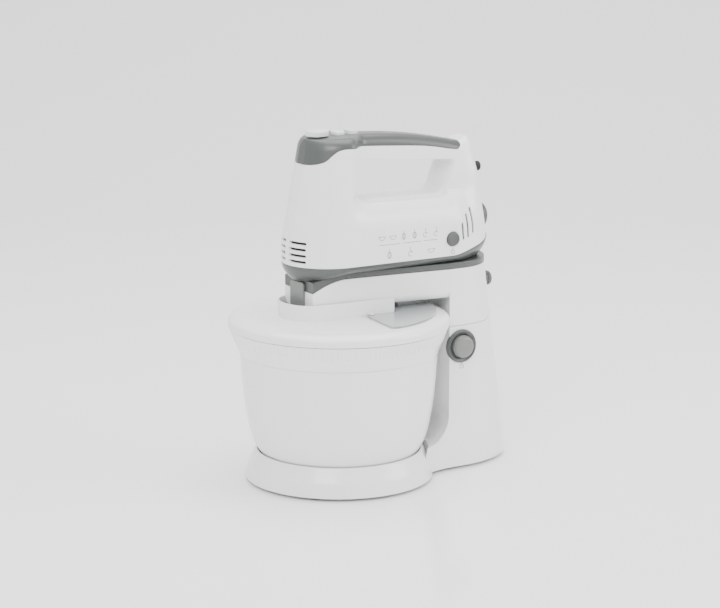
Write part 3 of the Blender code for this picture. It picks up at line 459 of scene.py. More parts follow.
def tidy_faces(mesh):
    """Drops loose points and turns every face outward."""
    work = bmesh.new()
    work.from_mesh(mesh)
    bmesh.ops.delete(work, geom=[v for v in work.verts if not v.link_faces], context='VERTS')
    bmesh.ops.recalc_face_normals(work, faces=work.faces)
    work.to_mesh(mesh)
    work.free()


def combine(piece, shape, how='DIFFERENCE'):
    """Cuts, joins or keeps a shape, at once, so that no modifier is left."""
    other = solid("tool", shape) if isinstance(shape, tuple) else shape
    step = piece.modifiers.new("step", 'BOOLEAN')
    step.operation, step.solver, step.object = how, 'EXACT', other
    graph = bpy.context.evaluated_depsgraph_get()
    result = bpy.data.meshes.new_from_object(piece.evaluated_get(graph))
    piece.modifiers.clear()
    spent = (piece.data, other.data)
    piece.data = result
    bpy.data.objects.remove(other)
    for mesh in spent:
        bpy.data.meshes.remove(mesh)
    result.name = piece.name
    return piece


def settle(piece, body, slot, *nodes, material=None, sharp=38):
    """Gives a piece its finish and its body, and hides the CAD nodes it stands for."""
    colours = bpy.context.scene.mixer_colours
    mesh = piece.data
    mesh.materials.clear()
    mesh.materials.append(material or finish(slot, colours))
    mesh.shade_smooth()
    mesh.set_sharp_from_angle(angle=math.radians(sharp))
    even = piece.modifiers.new("even shading", 'WEIGHTED_NORMAL')
    even.keep_sharp = True
    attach(piece, body)
    if nodes:
        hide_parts(*nodes)
    return piece


def loft(rings):
    """Closed rings of equal count joined in order, with flat end faces."""
    count = len(rings[0])
    points = [p for ring in rings for p in ring]
    last = (len(rings) - 1) * count
    faces = [list(range(count)), list(range(last, last + count))]
    for r in range(len(rings) - 1):
        for i in range(count):
            j = (i + 1) % count
            faces.append((r * count + i, r * count + j, (r + 1) * count + j, (r + 1) * count + i))
    return points, faces


def merged(*shapes):
    """Several shapes as one mesh."""
    points, faces = [], []
    for more, sides in shapes:
        faces += [[i + len(points) for i in face] for face in sides]
        points += list(more)
    return points, faces


def placed(axis):
    """How an outline's (u, v) and its height w become (x, y, z)."""
    return {'Z': lambda u, v, w: (u, v, w), 'Y': lambda u, v, w: (u, w, v),
            'X': lambda u, v, w: (w, u, v)}[axis]


def prism(outline, low, high, axis='Z'):
    put_at = placed(axis)
    return loft([[put_at(u, v, w) for u, v in outline] for w in (low, high)])


def inset(outline, by):
    """The outline moved inward by a distance, corner by corner."""
    area = sum(a[0] * b[1] - b[0] * a[1] for a, b in zip(outline, outline[1:] + outline[:1]))
    side = by if area > 0 else -by
    out = []
    for k, (x, y) in enumerate(outline):
        a, c = outline[k - 1], outline[(k + 1) % len(outline)]
        size = math.hypot(c[0] - a[0], c[1] - a[1]) or 1.0
        out.append((x - side * (c[1] - a[1]) / size, y + side * (c[0] - a[0]) / size))
    return out


def soft_prism(outline, low, high, edge, axis='Z', steps=4, both=True):
    """A prism whose end edges are rounded."""
    put_at = placed(axis)
    turns = [math.pi / 2 * s / steps for s in range(steps + 1)]
    sections = [(edge * (1 - math.sin(t)), low + edge * (1 - math.cos(t))) for t in turns] \
        if both else [(0.0, low)]
    sections += [(edge * (1 - math.sin(t)), high - edge * (1 - math.cos(t)))
                 for t in reversed(turns)]
    return loft([[put_at(u, v, w) for u, v in inset(outline, by)] for by, w in sections])


def circle(radius, sides, centre=(0.0, 0.0)):
    return [(centre[0] + radius * math.cos(2 * math.pi * i / sides),
             centre[1] + radius * math.sin(2 * math.pi * i / sides)) for i in range(sides)]


def rod(centre, radius, low, high, axis='Z', sides=48):
    return prism(circle(radius, sides, centre), low, high, axis)


def towards(point, other, distance):
    size = math.hypot(other[0] - point[0], other[1] - point[1])
    return tuple(p + (q - p) * distance / size for p, q in zip(point, other[:2]))


def filleted(corners, steps=6):
    """A closed outline from (a, b, radius) corners, each rounded off."""
    out = []
    for k, (a, b, radius) in enumerate(corners):
        if not radius:
            out.append((a, b))
            continue
        start = towards((a, b), corners[k - 1], radius)
        end = towards((a, b), corners[(k + 1) % len(corners)], radius)
        for t in (s / steps for s in range(steps + 1)):
            out.append(tuple((1 - t) ** 2 * p + 2 * t * (1 - t) * q + t * t * r
                             for p, q, r in zip(start, (a, b), end)))
    return out


def curve(points, steps=8):
    """A smooth line through the points."""
    out = []
    for k in range(len(points) - 1):
        a, b = points[max(k - 1, 0)], points[k]
        c, d = points[k + 1], points[min(k + 2, len(points) - 1)]
        for t in (s / steps for s in range(steps)):
            out.append(tuple(0.5 * (2 * q + (r - p) * t + (2 * p - 5 * q + 4 * r - w) * t * t
                                    + (3 * q - p - 3 * r + w) * t ** 3)
                             for p, q, r, w in zip(a, b, c, d)))
    return out + [tuple(points[-1])]


def turned(profile, sides=FINE, centre=(0.0, 0.0), axis='Z'):
    """A closed (radius, height) profile turned about an axis."""
    put_at = placed(axis)
    points, faces, columns = [], [], []
    for radius, height in profile:
        column = []
        for i in range(sides if radius > 0 else 1):
            t = 2 * math.pi * i / sides
            points.append(put_at(centre[0] + radius * math.cos(t),
                                 centre[1] + radius * math.sin(t), height))
            column.append(len(points) - 1)
        columns.append(column)
    for k, low in enumerate(columns):
        high = columns[(k + 1) % len(columns)]
        if len(low) == 1 and len(high) == 1:
            continue
        for i in range(sides):
            j = (i + 1) % sides
            corner = [low[i % len(low)], low[j % len(low)], high[j % len(high)],
                      high[i % len(high)]]
            faces.append(list(dict.fromkeys(corner)))
    return points, faces


def rounded(x, y, radius, steps=6):
    """A rectangle with rounded corners, as an outline."""
    out = []
    for cx, cy, start in ((x[1], y[1], 0), (x[0], y[1], 90), (x[0], y[0], 180), (x[1], y[0], 270)):
        ox = cx - radius if cx == x[1] else cx + radius
        oy = cy - radius if cy == y[1] else cy + radius
        for s in range(steps + 1):
            t = math.radians(start + 90 * s / steps)
            out.append((ox + radius * math.cos(t), oy + radius * math.sin(t)))
    return out


def tube(path, radius, sides=12):
    """A round wire along a path, closed at its ends."""
    rings = []
    for k, point in enumerate(path):
        a, b = path[max(k - 1, 0)], path[min(k + 1, len(path) - 1)]
        along = unit([q - p for p, q in zip(a, b)])
        u = unit(cross(along, (0.31, 0.95, 0.07)))
        v = cross(along, u)
        rings.append([tuple(point[n] + radius * (math.cos(t) * u[n] + math.sin(t) * v[n])
                            for n in range(3))
                      for t in (2 * math.pi * s / sides for s in range(sides))])
    return loft(rings)


def unit(v):
    size = math.sqrt(sum(c * c for c in v))
    return [c / size for c in v]


def cross(a, b):
    return [a[1] * b[2] - a[2] * b[1], a[2] * b[0] - a[0] * b[2], a[0] * b[1] - a[1] * b[0]]


def gear(teeth, tip_r, root_r, phase=0.0, tip=TOOTH_TIP, root=TOOTH_ROOT):
    """A toothed outline: tips narrower than roots, one tooth centred on phase."""
    out = []
    for i in range(teeth):
        for radius, part in ((root_r, -root), (tip_r, -tip), (tip_r, tip), (root_r, root)):
            t = phase + 2 * math.pi / teeth * (i + part / 2)
            out.append((radius * math.cos(t), radius * math.sin(t)))
    return out


def capsule(a, b, width, steps=8):
    """A bar with round ends between two points, as an outline."""
    angle = math.atan2(b[1] - a[1], b[0] - a[0])
    out = []
    for end, start in ((b, angle - math.pi / 2), (a, angle + math.pi / 2)):
        for s in range(steps + 1):
            t = start + math.pi * s / steps
            out.append((end[0] + width / 2 * math.cos(t), end[1] + width / 2 * math.sin(t)))
    return out


def ease(t):
    t = min(max(t, 0.0), 1.0)
    return t * t * (3 - 2 * t)


# ---------------------------------------------------------------- base and column

def column_back(z):
    """The column's leaning rear line, upright near the table."""
    return FOOT_REAR - COLUMN_LEAN * (z - 25 * (1 - math.exp(-z / 25)))


def column_ring(z, by=0.0):
    """The column's outline at a height: hollow front, flat sides, round back."""
    drop = min(max((COLUMN_FLARE_Z - z) / (COLUMN_FLARE_Z - SEAT_LIP_Z), 0.0), 1.0)
    sweep = 1 - math.sqrt(1 - drop ** 2)
    front_r = FRONT_R + (SEAT_R + 3 - FRONT_R) * sweep + by
    half = COLUMN_HALF - by
    corner = half + (COLUMN_FLARE - 2 * by) * sweep
    corner_x = math.sqrt(front_r ** 2 - corner ** 2)
    side = []
    for k in range(1, 11):
        x = corner_x + (COLUMN_SIDE_X - corner_x) * k / 10
        left = (COLUMN_SIDE_X - x) / (COLUMN_SIDE_X - corner_x)
        side.append((x, half + (corner - half) * left ** 3))
    back = column_back(z) - by
    for k in range(1, 20):
        t = math.pi / 2 * k / 20
        side.append((COLUMN_SIDE_X + (back - COLUMN_SIDE_X) * math.sin(t),
                     half * math.cos(t) ** COLUMN_TAPER))
    top = math.asin(corner / front_r)
    front = [(front_r * math.cos(a), front_r * math.sin(a))
             for a in (-top + 2 * top * k / 24 for k in range(25))]
    outline = [front[-1]] + side + [(back, 0.0)] + [(x, -y) for x, y in reversed(side)]
    return [(x, y, z) for x, y in outline + front[:-1]]


def column_solid(levels, by=0.0):
    return loft([column_ring(z, by) for z in levels])


def above_seam(offset):
    """Everything above the line between column and arm, as a Y prism."""
    radius = SEAM_R + offset
    arc = [(HINGE[0] + radius * math.sin(t), HINGE[1] - radius * math.cos(t))
           for t in (math.radians(3 + 95 * k / 40) for k in range(41))]
    outline = [(40.0, HINGE[1] - radius)] + arc
    return prism(outline + [(260.0, arc[-1][1]), (260.0, 240.0), (40.0, 240.0)], -80, 80, 'Y')


class MIXER_OT_base(bpy.types.Operator):
    """Base disc and column in one moulding, with the bowl's seat"""
    bl_idname = "mixer.base"
    bl_label = "Base and column"

    def execute(self, context):
        base = solid("base_housing", turned(filleted([
            (0, FOOT_H, 0), (BASE_R, FOOT_H, 0.8), (BASE_R - 1.5, 9, 2), (BASE_R - 3.5, 17, 2),
            (BASE_R - 6.5, 23, 2), (SEAT_R + 3.2, 28.5, 1.2), (SEAT_R + 1.6, SEAT_LIP_Z, 0.8),
            (0, SEAT_LIP_Z, 0)])))
        sweep = [COLUMN_FLARE_Z - (COLUMN_FLARE_Z - 31.4) * math.sin(math.pi / 2 * k / 16)
                 for k in range(16, -1, -1)]
        levels = sweep + [90, 128, 179]
        combine(base, column_solid([FOOT_H + 0.1] + levels), 'UNION')
        combine(base, above_seam(0.25))
        combine(base, turned(filleted([
            (0, SEAT_FLOOR_Z, 0), (68, SEAT_FLOOR_Z, 5), (SEAT_R - 4, 22, 3), (SEAT_R, 28, 2),
            (SEAT_R, SEAT_LIP_Z + 9, 0), (0, SEAT_LIP_Z + 9, 0)])))
        under = SEAT_FLOOR_Z - 3
        combine(base, turned([
            (0, -2), (BASE_R - 3, -2), (BASE_R - 4.4, 9), (BASE_R - 7, 16), (SEAT_R + 1.5, 18.3),
            (SEAT_R - 9, under), (0, under)]))
        hollow = solid("hollow", column_solid([-3] + levels, BASE_WALL))
        combine(hollow, above_seam(BASE_WALL + 0.5))
        combine(base, hollow)
        x, z = TILT_AT
        combine(base, rod((x, z), TILT_R + RUN, -COLUMN_HALF - 6, -COLUMN_HALF + 9, 'Y'))
        seam = (SEAM_Z - 12, SEAM_Z + 12)
        for along, across in (((HINGE[0] - 8, HINGE[0] + 8), (-18, 18)), ((x - 3, x + 10), (-20, 0))):
            combine(base, prism(rounded(along, across, 1.5), *seam))
        # The rear knob sweeps down past the column as the arm tilts.
        reach = KNOB_TIP - HINGE[0]
        lowest = HINGE[1] + (KNOB_Z - KNOB_R - HINGE[1]) * math.cos(TILT) - reach * math.sin(TILT)
        notch = rounded((-KNOB_R - 1.2, KNOB_R + 1.2), (lowest - 2.5, 190), 4)
        combine(base, prism(notch, *NOTCH_X, 'X'))
        settle(base, "stand", "white_abs", "base_shell")
        return {'FINISHED'}


class MIXER_OT_feet(bpy.types.Operator):
    """Four rubber feet and the four screws that hold the base plate"""
    bl_idname = "mixer.feet"
    bl_label = "Feet and screws"

    def execute(self, context):
        for node in sorted(frame["nodes"]):
            at = (middle(node, "X"), middle(node, "Y"))
            low, high = span(node, "Z")
            radius = (span(node, "X")[1] - span(node, "X")[0]) / 2
            if node.startswith("foot_"):
                pad = filleted([(0, low + 0.8, 0), (radius - 4, low + 0.8, 0.5),
                                (radius - 3.4, low, 0.3), (radius - 1, low, 0.6),
                                (radius, low + 1, 0.5), (radius, high, 0.2), (0, high, 0)])
                settle(solid(node + "_pad", turned(pad, 64, at)), "stand", "rubber", node)
            if node.startswith("base_screw_"):
                head = solid(node + "_pan", turned(filleted(
                    [(0, low, 0), (radius - 0.6, low, 0.8), (radius, low + 1.5, 0.2),
                     (2, low + 1.6, 0), (2, high - 1, 0.1), (0.4, high, 0), (0, high, 0)]), 32, at))
                for turn in (0, math.pi / 2):
                    reach = [(at[0] + s * 2.2 * math.cos(turn), at[1] + s * 2.2 * math.sin(turn))
                             for s in (-1, 1)]
                    combine(head, prism(capsule(*reach, 0.8), low - 1, low + 1.1))
                settle(head, "stand", "steel", node)
        return {'FINISHED'}


# ---------------------------------------------------------------- bowl

class MIXER_OT_bowl(bpy.types.Operator):
    """White bowl on its centre hub"""
    bl_idname = "mixer.bowl"
    bl_label = "Bowl"

    def execute(self, context):
        wall = BOWL_WALL
        side = curve([(62, BOWL_FOOT), (70, 21.4), (76, 25.5), (80, 31), (86, 42.5), (91, 62),
                      (95, 90), (BOWL_R, BOWL_TOP)], 7)
        inner = curve([(BOWL_R - wall, BOWL_TOP), (95 - wall, 90 + wall * 0.4),
                       (91 - wall, 62 + wall * 0.4), (86 - wall, 42.5 + wall * 0.9),
                       (80 - wall, 31 + wall * 0.9), (76 - wall, 25.5 + wall * 0.9),
                       (66, BOWL_FOOT + wall)], 7)
        hole = span("bowl_spindle", "Z")[1] + 0.6
        hub = [(10.5, BOWL_FOOT + wall), (10, BOWL_FOOT + 4), (8, BOWL_FOOT + 14),
               (6.6, BOWL_HUB - 0.3), (0, BOWL_HUB)]
        bowl = solid("mixing_bowl", turned([(0, hole), (5 + RUN, hole), (5 + RUN, BOWL_FOOT)]
                                           + side + inner + hub))
        settle(bowl, "bowl", "white_abs", "bowl")
        return {'FINISHED'}


def ribbed(count, depth):
    """The ring's section turned, with ribs standing out over its upper slope."""
    inner_r = RING_PITCH_R - 4
    outer = curve([(BOWL_R + 0.8, RING_LOW), (BOWL_R + 2.6, 135.5), (BOWL_R + 5, 141)], 4)
    outer += [(BOWL_R + 5 + (RING_R - BOWL_R - 5) * k / 12, 141 + 13 * k / 12)
              for k in range(1, 13)]
    outer += [(RING_R, RING_TOP)]
    inner = [(inner_r, RING_TOP), (inner_r, 147), (BOWL_R - BOWL_WALL, 144.5),
             (BOWL_R - BOWL_WALL, RING_LOW)]
    sides = count * 8
    rings = []
    for radius, z in outer + inner:
        rise = ease((z - 141) / 2.2) * ease((RING_TOP - 0.6 - z) / 0.8) if radius > inner_r + 9 else 0
        ring = []
        for i in range(sides):
            t = 2 * math.pi * i / sides
            wave = 0.5 + 0.5 * math.cos(count * t)
            reach = radius + depth * rise * (min(wave * 1.7, 1.0) - 0.8)
            ring.append((reach * math.cos(t), reach * math.sin(t), z))
        rings.append(ring)
    points, faces = loft(rings + rings[:1])
    faces = faces[2:]
    kept = len(points) - sides
    return points[:kept], [[i % kept for i in face] for face in faces]


class MIXER_OT_ring(bpy.types.Operator):
    """Ring over the bowl's rim: ribs outside, drive teeth inside"""
    bl_idname = "mixer.ring"
    bl_label = "Ribbed bowl ring"

    def execute(self, context):
        sizes = context.scene.mixer_sizes
        piece = solid("bowl_grip_ring", ribbed(sizes.rib_count, sizes.rib_depth / MM))
        angle = math.atan2(-BEATER_Y, BEATER_X)
        gaps = gear(RING_TEETH, RING_PITCH_R + 3.25, RING_PITCH_R - 2.0, angle,
                    1 - TOOTH_ROOT, 1 - TOOTH_TIP)
        combine(piece, prism(gaps, 140, 170))
        settle(piece, "bowl", "white_abs", "bowl_ring")
        return {'FINISHED'}


# ---------------------------------------------------------------- lid

def collar_path(offset, steps=24):
    """The splash collar's U, from its near end round the front to its far end."""
    half = COLLAR_HALF - offset
    side = [(COLLAR_END, half + 7.0), (0, half + 3.5)]
    bend = [(-40 - (COLLAR_FRONT - 40 - offset) * math.cos(t), half * math.sin(t))
            for t in (math.pi / 2 * k / steps for k in range(steps + 1))]
    near = side + list(reversed(bend))
    return near + [(x, -y) for x, y in reversed(near[:-1])]


def flap_outline():
    """The refill flap: a sector with a round boss at its pin."""
    px, py = FLAP_PIVOT
    arc = [(FLAP_R * math.cos(a), FLAP_R * math.sin(a))
           for a in (math.radians(-84 + 72 * k / 40) for k in range(41))]
    boss = [(px + FLAP_BOSS_R * math.cos(a), py + FLAP_BOSS_R * math.sin(a))
            for a in (math.radians(80 + 10 * k) for k in range(11))]
    return boss + [(3.5, -91), (4.2, -93.5)] + arc + filleted(
        [(90, -15.5, 0), (52, -17.5, 3), (46, -22, 3), (43.5, -39.8, 2), (20, -38, 3),
         (16, -37, 0)])[:-1]


class MIXER_OT_lid(bpy.types.Operator):
    """Lid with its splash collar, whisk opening and refill hole"""
    bl_idname = "mixer.lid"
    bl_label = "Lid"

    def execute(self, context):
        under, rim = LID_TOP - LID_WALL, LID_RIM_LOW
        lid = solid("bowl_lid", turned(filleted([
            (0, under, 0), (97, under - 1, 3), (104, 163, 2), (LID_R - LID_WALL, 161.5, 1),
            (LID_R - LID_WALL, rim, 0.6), (LID_R, rim, 0.6), (LID_R, rim + 6.6, 2.4),
            (104, 166.4, 4), (94, LID_TOP, 5), (0, LID_TOP, 0)]), 180))
        levels = [(0.0, LID_TOP - 1), (0.0, COLLAR_TOP - 0.8), (0.25, COLLAR_TOP - 0.25),
                  (0.6, COLLAR_TOP)]
        combine(lid, loft([[(x, y, z) for x, y in collar_path(by)
                            + list(reversed(collar_path(COLLAR_WALL - by)))]
                           for by, z in levels]), 'UNION')
        combine(lid, prism(rounded((-52, 22), (-28, 28), 9, 10), 150, COLLAR_TOP - 4))
        edge = [(89 * math.cos(a), 89 * math.sin(a), 0)
                for a in (math.radians(-76 + 54 * k / 30) for k in range(31))]
        refill = filleted([(20, -47, 3), (17.5, -86, 3), *edge, (52, -24, 4), (50, -44, 5)], 5)
        combine(lid, prism(refill, 150, 176))
        combine(lid, rod(FLAP_PIVOT, 1.6, 150, 176, sides=24))
        settle(lid, "arm", "white_abs", "lid")
        return {'FINISHED'}


class MIXER_OT_flap(bpy.types.Operator):
    """Clear flap over the refill hole, and the pin it turns on"""
    bl_idname = "mixer.flap"
    bl_label = "Refill flap"

    def execute(self, context):
        flap = solid("refill_flap_panel", soft_prism(flap_outline(), FLAP_LOW, FLAP_HIGH, 0.5))
        combine(flap, rod(FLAP_PIVOT, 1.8, 160, 180, sides=32))
        settle(flap, "refill_flap", "flap_plastic", "refill_flap")
        low, high = span("flap_pin", "Z")
        pin = turned(filleted([(0, low, 0), (1.4, low, 0.3), (1.4, FLAP_HIGH + GAP, 0),
                               (3, FLAP_HIGH + GAP, 0.2), (2.8, high - 0.4, 0.6), (0, high, 0)]),
                     48, FLAP_PIVOT)
        settle(solid("flap_pin_head", pin), "arm", "acetal", "flap_pin")
        return {'FINISHED'}


# ---------------------------------------------------------------- arm

def arm_half(x):
    """Half-width of the arm along its length, ending round at the column's back."""
    if x > COLUMN_SIDE_X:
        t = min((x - COLUMN_SIDE_X) / (column_back(ARM_TOP) - COLUMN_SIDE_X), 1.0)
        return max(COLUMN_HALF * math.sqrt(1 - t ** 2) ** COLUMN_TAPER, 0.5)
    corner = math.sqrt(FRONT_R ** 2 - COLUMN_HALF ** 2)
    t = min((x - ARM_FRONT) / (corner - ARM_FRONT), 1.0)
    return ARM_NOSE_HALF + (COLUMN_HALF - ARM_NOSE_HALF) * max(t, 0.0) ** 1.2


def trim_low(x):
    return ARM_TOP - 14.5 * max((-10 - x) / 40, 0.0) ** 1.6


def trim_high(x):
    return TRIM_TOP - 8.5 * max((-5 - x) / 45, 0.0) ** 1.6


def boom(by=0.0, top=0.0, end=0.0):
    """The arm's forward part: a trough with rounded lower edges."""
    start = ARM_FRONT + by
    stop = math.sqrt(FRONT_R ** 2 - COLUMN_HALF ** 2) + 14 + end
    rings = []
    for k in range(41):
        x = start + (stop - start) * k / 40
        half = min(arm_half(x), COLUMN_HALF - 0.02) - by
        low, high = ARM_LOW + by, trim_low(x) - GAP - 0.07 + top
        side = [(half, high)] + [(half - 8 * (1 - math.cos(t)), low + 8 * (1 - math.sin(t)))
                                 for t in (math.pi / 2 * s / 8 for s in range(9))]
        rings.append([(x, y, z) for y, z in side] + [(x, -y, z) for y, z in reversed(side)])
    return loft(rings)


def arm_shell():
    """The white housing: the column's top and the boom, hollowed out."""
    shell = solid("arm_housing", column_solid([SEAM_Z - 8, ARM_TOP - GAP]))
    combine(shell, above_seam(-0.25), 'INTERSECT')
    combine(shell, boom(), 'UNION')
    for y in (-BEATER_Y, BEATER_Y):
        combine(shell, rod((BEATER_X, y), 6.6, ARM_LOW - 6, ARM_LOW + 9))
    hx, hz = HINGE
    tx = TILT_AT[0]
    combine(shell, prism(rounded((hx - 11, hx + 20), (-18, 18), 1), SEAM_Z - 6, hz - 2))
    combine(shell, prism(rounded((tx - 3, tx + 18), (-21, 1), 1), SEAM_Z - 6, SEAM_Z + 5))
    back = column_back(KNOB_Z)
    combine(shell, rod((0, KNOB_Z), KNOB_R + RUN, back - 9, back + 9, 'X'))
    hollow = solid("hollow", column_solid([SEAM_Z - 10, ARM_TOP + 9], ARM_WALL))
    combine(hollow, above_seam(-ARM_WALL - 0.5), 'INTERSECT')
    combine(hollow, boom(ARM_WALL, 12.0, 8.0), 'UNION')
    combine(shell, hollow)
    return shell


def arm_rim():
    """The dark trim along the arm's top, ending round at the column's back."""
    rear = column_back(ARM_TOP) - 0.2
    stations = [ARM_FRONT + (COLUMN_SIDE_X - ARM_FRONT) * k / 48 for k in range(49)]
    stations += [COLUMN_SIDE_X + (rear - COLUMN_SIDE_X) * math.sin(math.pi / 2 * k / 24)
                 for k in range(1, 25)]
    rings = []
    for x in stations:
        low, high, half = trim_low(x), trim_high(x), arm_half(x)
        edge = min(1.2, half * 0.4)
        side = [(half - edge * 0.3, low), (half, low + 0.5), (half, high - edge),
                (half - edge * 0.3, high - edge * 0.3), (half - edge, high)]
        rings.append([(x, y, z) for y, z in side] + [(x, -y, z) for y, z in reversed(side)])
    trim = solid("arm_rim", loft(rings))
    for y in (-BEATER_Y, BEATER_Y):
        combine(trim, rod((BEATER_X, y), 7.4, ARM_LOW, TRIM_TOP + 9))
    return trim


class MIXER_OT_arm(bpy.types.Operator):
    """White arm, its dark top trim and the grey hook at its tip"""
    bl_idname = "mixer.arm"
    bl_label = "Arm"

    def execute(self, context):
        settle(arm_shell(), "arm", "white_abs", "arm_shell")
        settle(arm_rim(), "arm", "dark_abs", "arm_trim")
        start, stop = span("front_hook", "X")
        outline = rounded((-HOOK_HALF, HOOK_HALF), span("front_hook", "Z"), 3)
        hook = solid("release_hook", soft_prism(outline, start + 1.5, stop, 0.9, 'X'))
        settle(hook, "arm", "grey_abs", "front_hook")
        return {'FINISHED'}


class MIXER_OT_knobs(bpy.types.Operator):
    """Tilt button in its ring, and the knob behind the arm"""
    bl_idname = "mixer.knobs"
    bl_label = "Tilt button and rear knob"

    def execute(self, context):
        face = -COLUMN_HALF
        knob = turned(filleted([(0, face - 8.5, 0), (TILT_R - 2, face - 8.2, 2),
                                (TILT_R, face - 5.5, 1.6), (TILT_R, face + 6, 0),
                                (0, face + 6, 0)], 8), 96, TILT_AT, 'Y')
        button = solid("tilt_key", knob)
        combine(button, rod(TILT_AT, 3.6, face + 4, -18, 'Y', 24), 'UNION')
        settle(button, "tilt_button", "grey_abs", "tilt_button")
        front = face - GAP
        ring = turned(filleted([(TILT_R + RUN, front + 2, 0), (TILT_RING_R, front + 2, 0.2),
                                (TILT_RING_R, front - 1.4, 1.0),
                                (TILT_RING_R - 1.4, front - 3, 0.9),
                                (TILT_R + RUN, front - 1.4, 0.4)]), 112, TILT_AT, 'Y')
        settle(solid("tilt_bezel", ring), "stand", "dark_abs", "tilt_ring")
        rear = turned(filleted([
            (0, KNOB_BACK, 0), (KNOB_R, KNOB_BACK, 0.3), (KNOB_R, KNOB_TIP - 6.4, 0.2),
            (KNOB_R - 0.6, KNOB_TIP - 6.0, 0.2), (KNOB_R - 0.6, KNOB_TIP - 5.0, 0.2),
            (KNOB_R, KNOB_TIP - 4.6, 0.2), (KNOB_R, KNOB_TIP - 1.6, 1.3),
            (KNOB_R - 1.8, KNOB_TIP, 1), (0, KNOB_TIP - 0.4, 0)]), 96, (0, KNOB_Z), 'X')
        settle(solid("rear_release_knob", rear), "rear_knob", "dark_abs", "rear_knob")
        return {'FINISHED'}


# ---------------------------------------------------------------- handset

def nose_tip(z):
    return NOSE_TIP + 22 * max(z - 240, 0.0) / 117


def nose_radius(z):
    return NOSE_R - 7 * max((z - 240) / 95, 0.0)


def handset_back(z):
    up = max(z - 226, 0.0)
    return HANDSET_REAR - 0.11 * up - 0.00055 * up ** 2


def shell_low(x):
    """The white shell's lower edge: level, then rising to the rear."""
    return SHELL_LOW + 15 * max((x - 106) / 62, 0.0) ** 1.3


def shell_top(x):
    crown = SHELL_TOP - 0.001 * (x - 8) ** 2
    return crown + 7 * math.exp(-((x - 144) / 8) ** 2)


def handset_half(x, z, by=0.0):
    """Half-width of the handset: round nose, slim handle, shouldered body."""
    tip, radius = nose_tip(z) + by, nose_radius(z) - by
    centre = tip + radius
    back = handset_back(z) - by
    nose = math.sqrt(max(radius ** 2 - (x - centre) ** 2, 0.0)) if x < centre else radius
    shoulder = min(max((z + by - 250) / 33, 0.0), 1.0)
    spine = HANDLE_HALF + (NOSE_R - HANDLE_HALF) * math.sqrt(1 - shoulder ** 2) - by
    rear = 40 - 16 * ease((z - 245) / 45) - 6 * ease((z - 290) / 40) - by
    half = nose + (spine - nose) * ease((x - centre + 4 + by) / 25)
    half += (rear - half) * ease((x - 108 - by) / 28)
    bend = 14 + 26 * ease((300 - z) / 60)
    if x > back - bend:
        half *= math.sqrt(max(1 - ((x - back + bend) / bend) ** 2, 0.0))
    return max(half, 0.4)


def capped(rings):
    """Rings mirrored about Y, with end faces as strips between the two sides."""
    points, faces = loft(rings)
    count = len(rings[0]) // 2
    faces = faces[2:]
    for base in (0, (len(rings) - 1) * 2 * count):
        for k in range(count - 1):
            faces.append((base + k, base + k + 1, base + 2 * count - 2 - k,
                          base + 2 * count - 1 - k))
    return points, faces


def handset_body(levels, by=0.0, edge=CROWN, count=81):
    """The handset's outer form between its lower and upper lines."""
    rings = []
    for level in levels:
        nominal = SHELL_LOW + (SHELL_TOP - SHELL_LOW) * level
        start, stop = nose_tip(nominal) + by, handset_back(nominal) - by
        side = []
        for k in range(count):
            x = start + (stop - start) * (0.5 - 0.5 * math.cos(math.pi * k / (count - 1)))
            top = shell_top(x) - by
            z = shell_low(x) + (top - shell_low(x)) * level
            crown = max(edge - (top - z), 0.0)
            tuck = edge - math.sqrt(max(edge ** 2 - crown ** 2, 0.0))
            side.append((x, max(handset_half(x, z, by) - tuck, 0.3), z))
        rings.append(side + [(x, -y, z) for x, y, z in reversed(side)])
    return capped(rings)


def shell_levels(low=0.0):
    """Shares of the height, closer together over the rounded top."""
    return [low + (0.9 - low) * k / 44 for k in range(44)] + \
           [0.9 + 0.1 * math.sin(math.pi / 2 * k / 12) for k in range(13)]


def opening_outline(grow=0.0):
    """The finger opening under the handle, seen from the side."""
    centre = (62.0, 299.5)
    out = []
    for x, z in filleted([(12.0, 320.0, 8.0), (123.0, 311.5, 6.0), (108.0, 279.5, 9.0),
                          (10.0, 281.0, 9.0)], 10):
        reach = min(max((x - centre[0]) / 30, -1), 1)
        out.append((x + grow * reach, z + grow * (1 if z > centre[1] else -1)))
    return out


def opening_tool():
    """The opening's cutter, flaring where it leaves the handle's sides."""
    rings = []
    flare = [13 + 0.5 * k for k in range(17)]
    for y in [-70, -24] + [-depth for depth in reversed(flare)] + flare + [24, 70]:
        grow = 1.7 * ease((abs(y) - 13) / 8) ** 1.4
        rings.append([(x, y, z) for x, z in opening_outline(grow)])
    return loft(rings)


def cap_region(grow=0.0):
    """The dark grip's share of the handset, bounded by an S-shaped line."""
    line = curve([(-90, 318), (-50, 318), (-33, 322), (-24, 330), (-18, 334), (-8, 335.2),
                  (15, 334), (84, 329), (118, 323.3), (127, 322.5), (GRIP_END, 326)], 8)
    low = [(x, z - grow) for x, z in line[:-1]] + [(GRIP_END + grow, 326)]
    return prism(low + [(GRIP_END + grow, 370), (-90, 370)], -70, 70, 'Y')


def vent_slot(side, z, height):
    """One slot round the nose: a bar bent about the nose's centre line."""
    centre = nose_tip(z) + nose_radius(z)
    rings = []
    for k in range(25):
        u = abs(k / 12 - 1)
        half = height / 2 * math.sqrt(max(1 - max((u - 0.9) / 0.1, 0) ** 2, 0.04))
        angle = math.pi - side * math.radians(4 + 29 * k / 24)
        rings.append([(centre + r * math.cos(angle), r * math.sin(angle), z + s * half)
                      for r, s in ((NOSE_R - 7, -1), (NOSE_R + 6, -1), (NOSE_R + 6, 1),
                                   (NOSE_R - 7, 1))])
    return loft(rings)


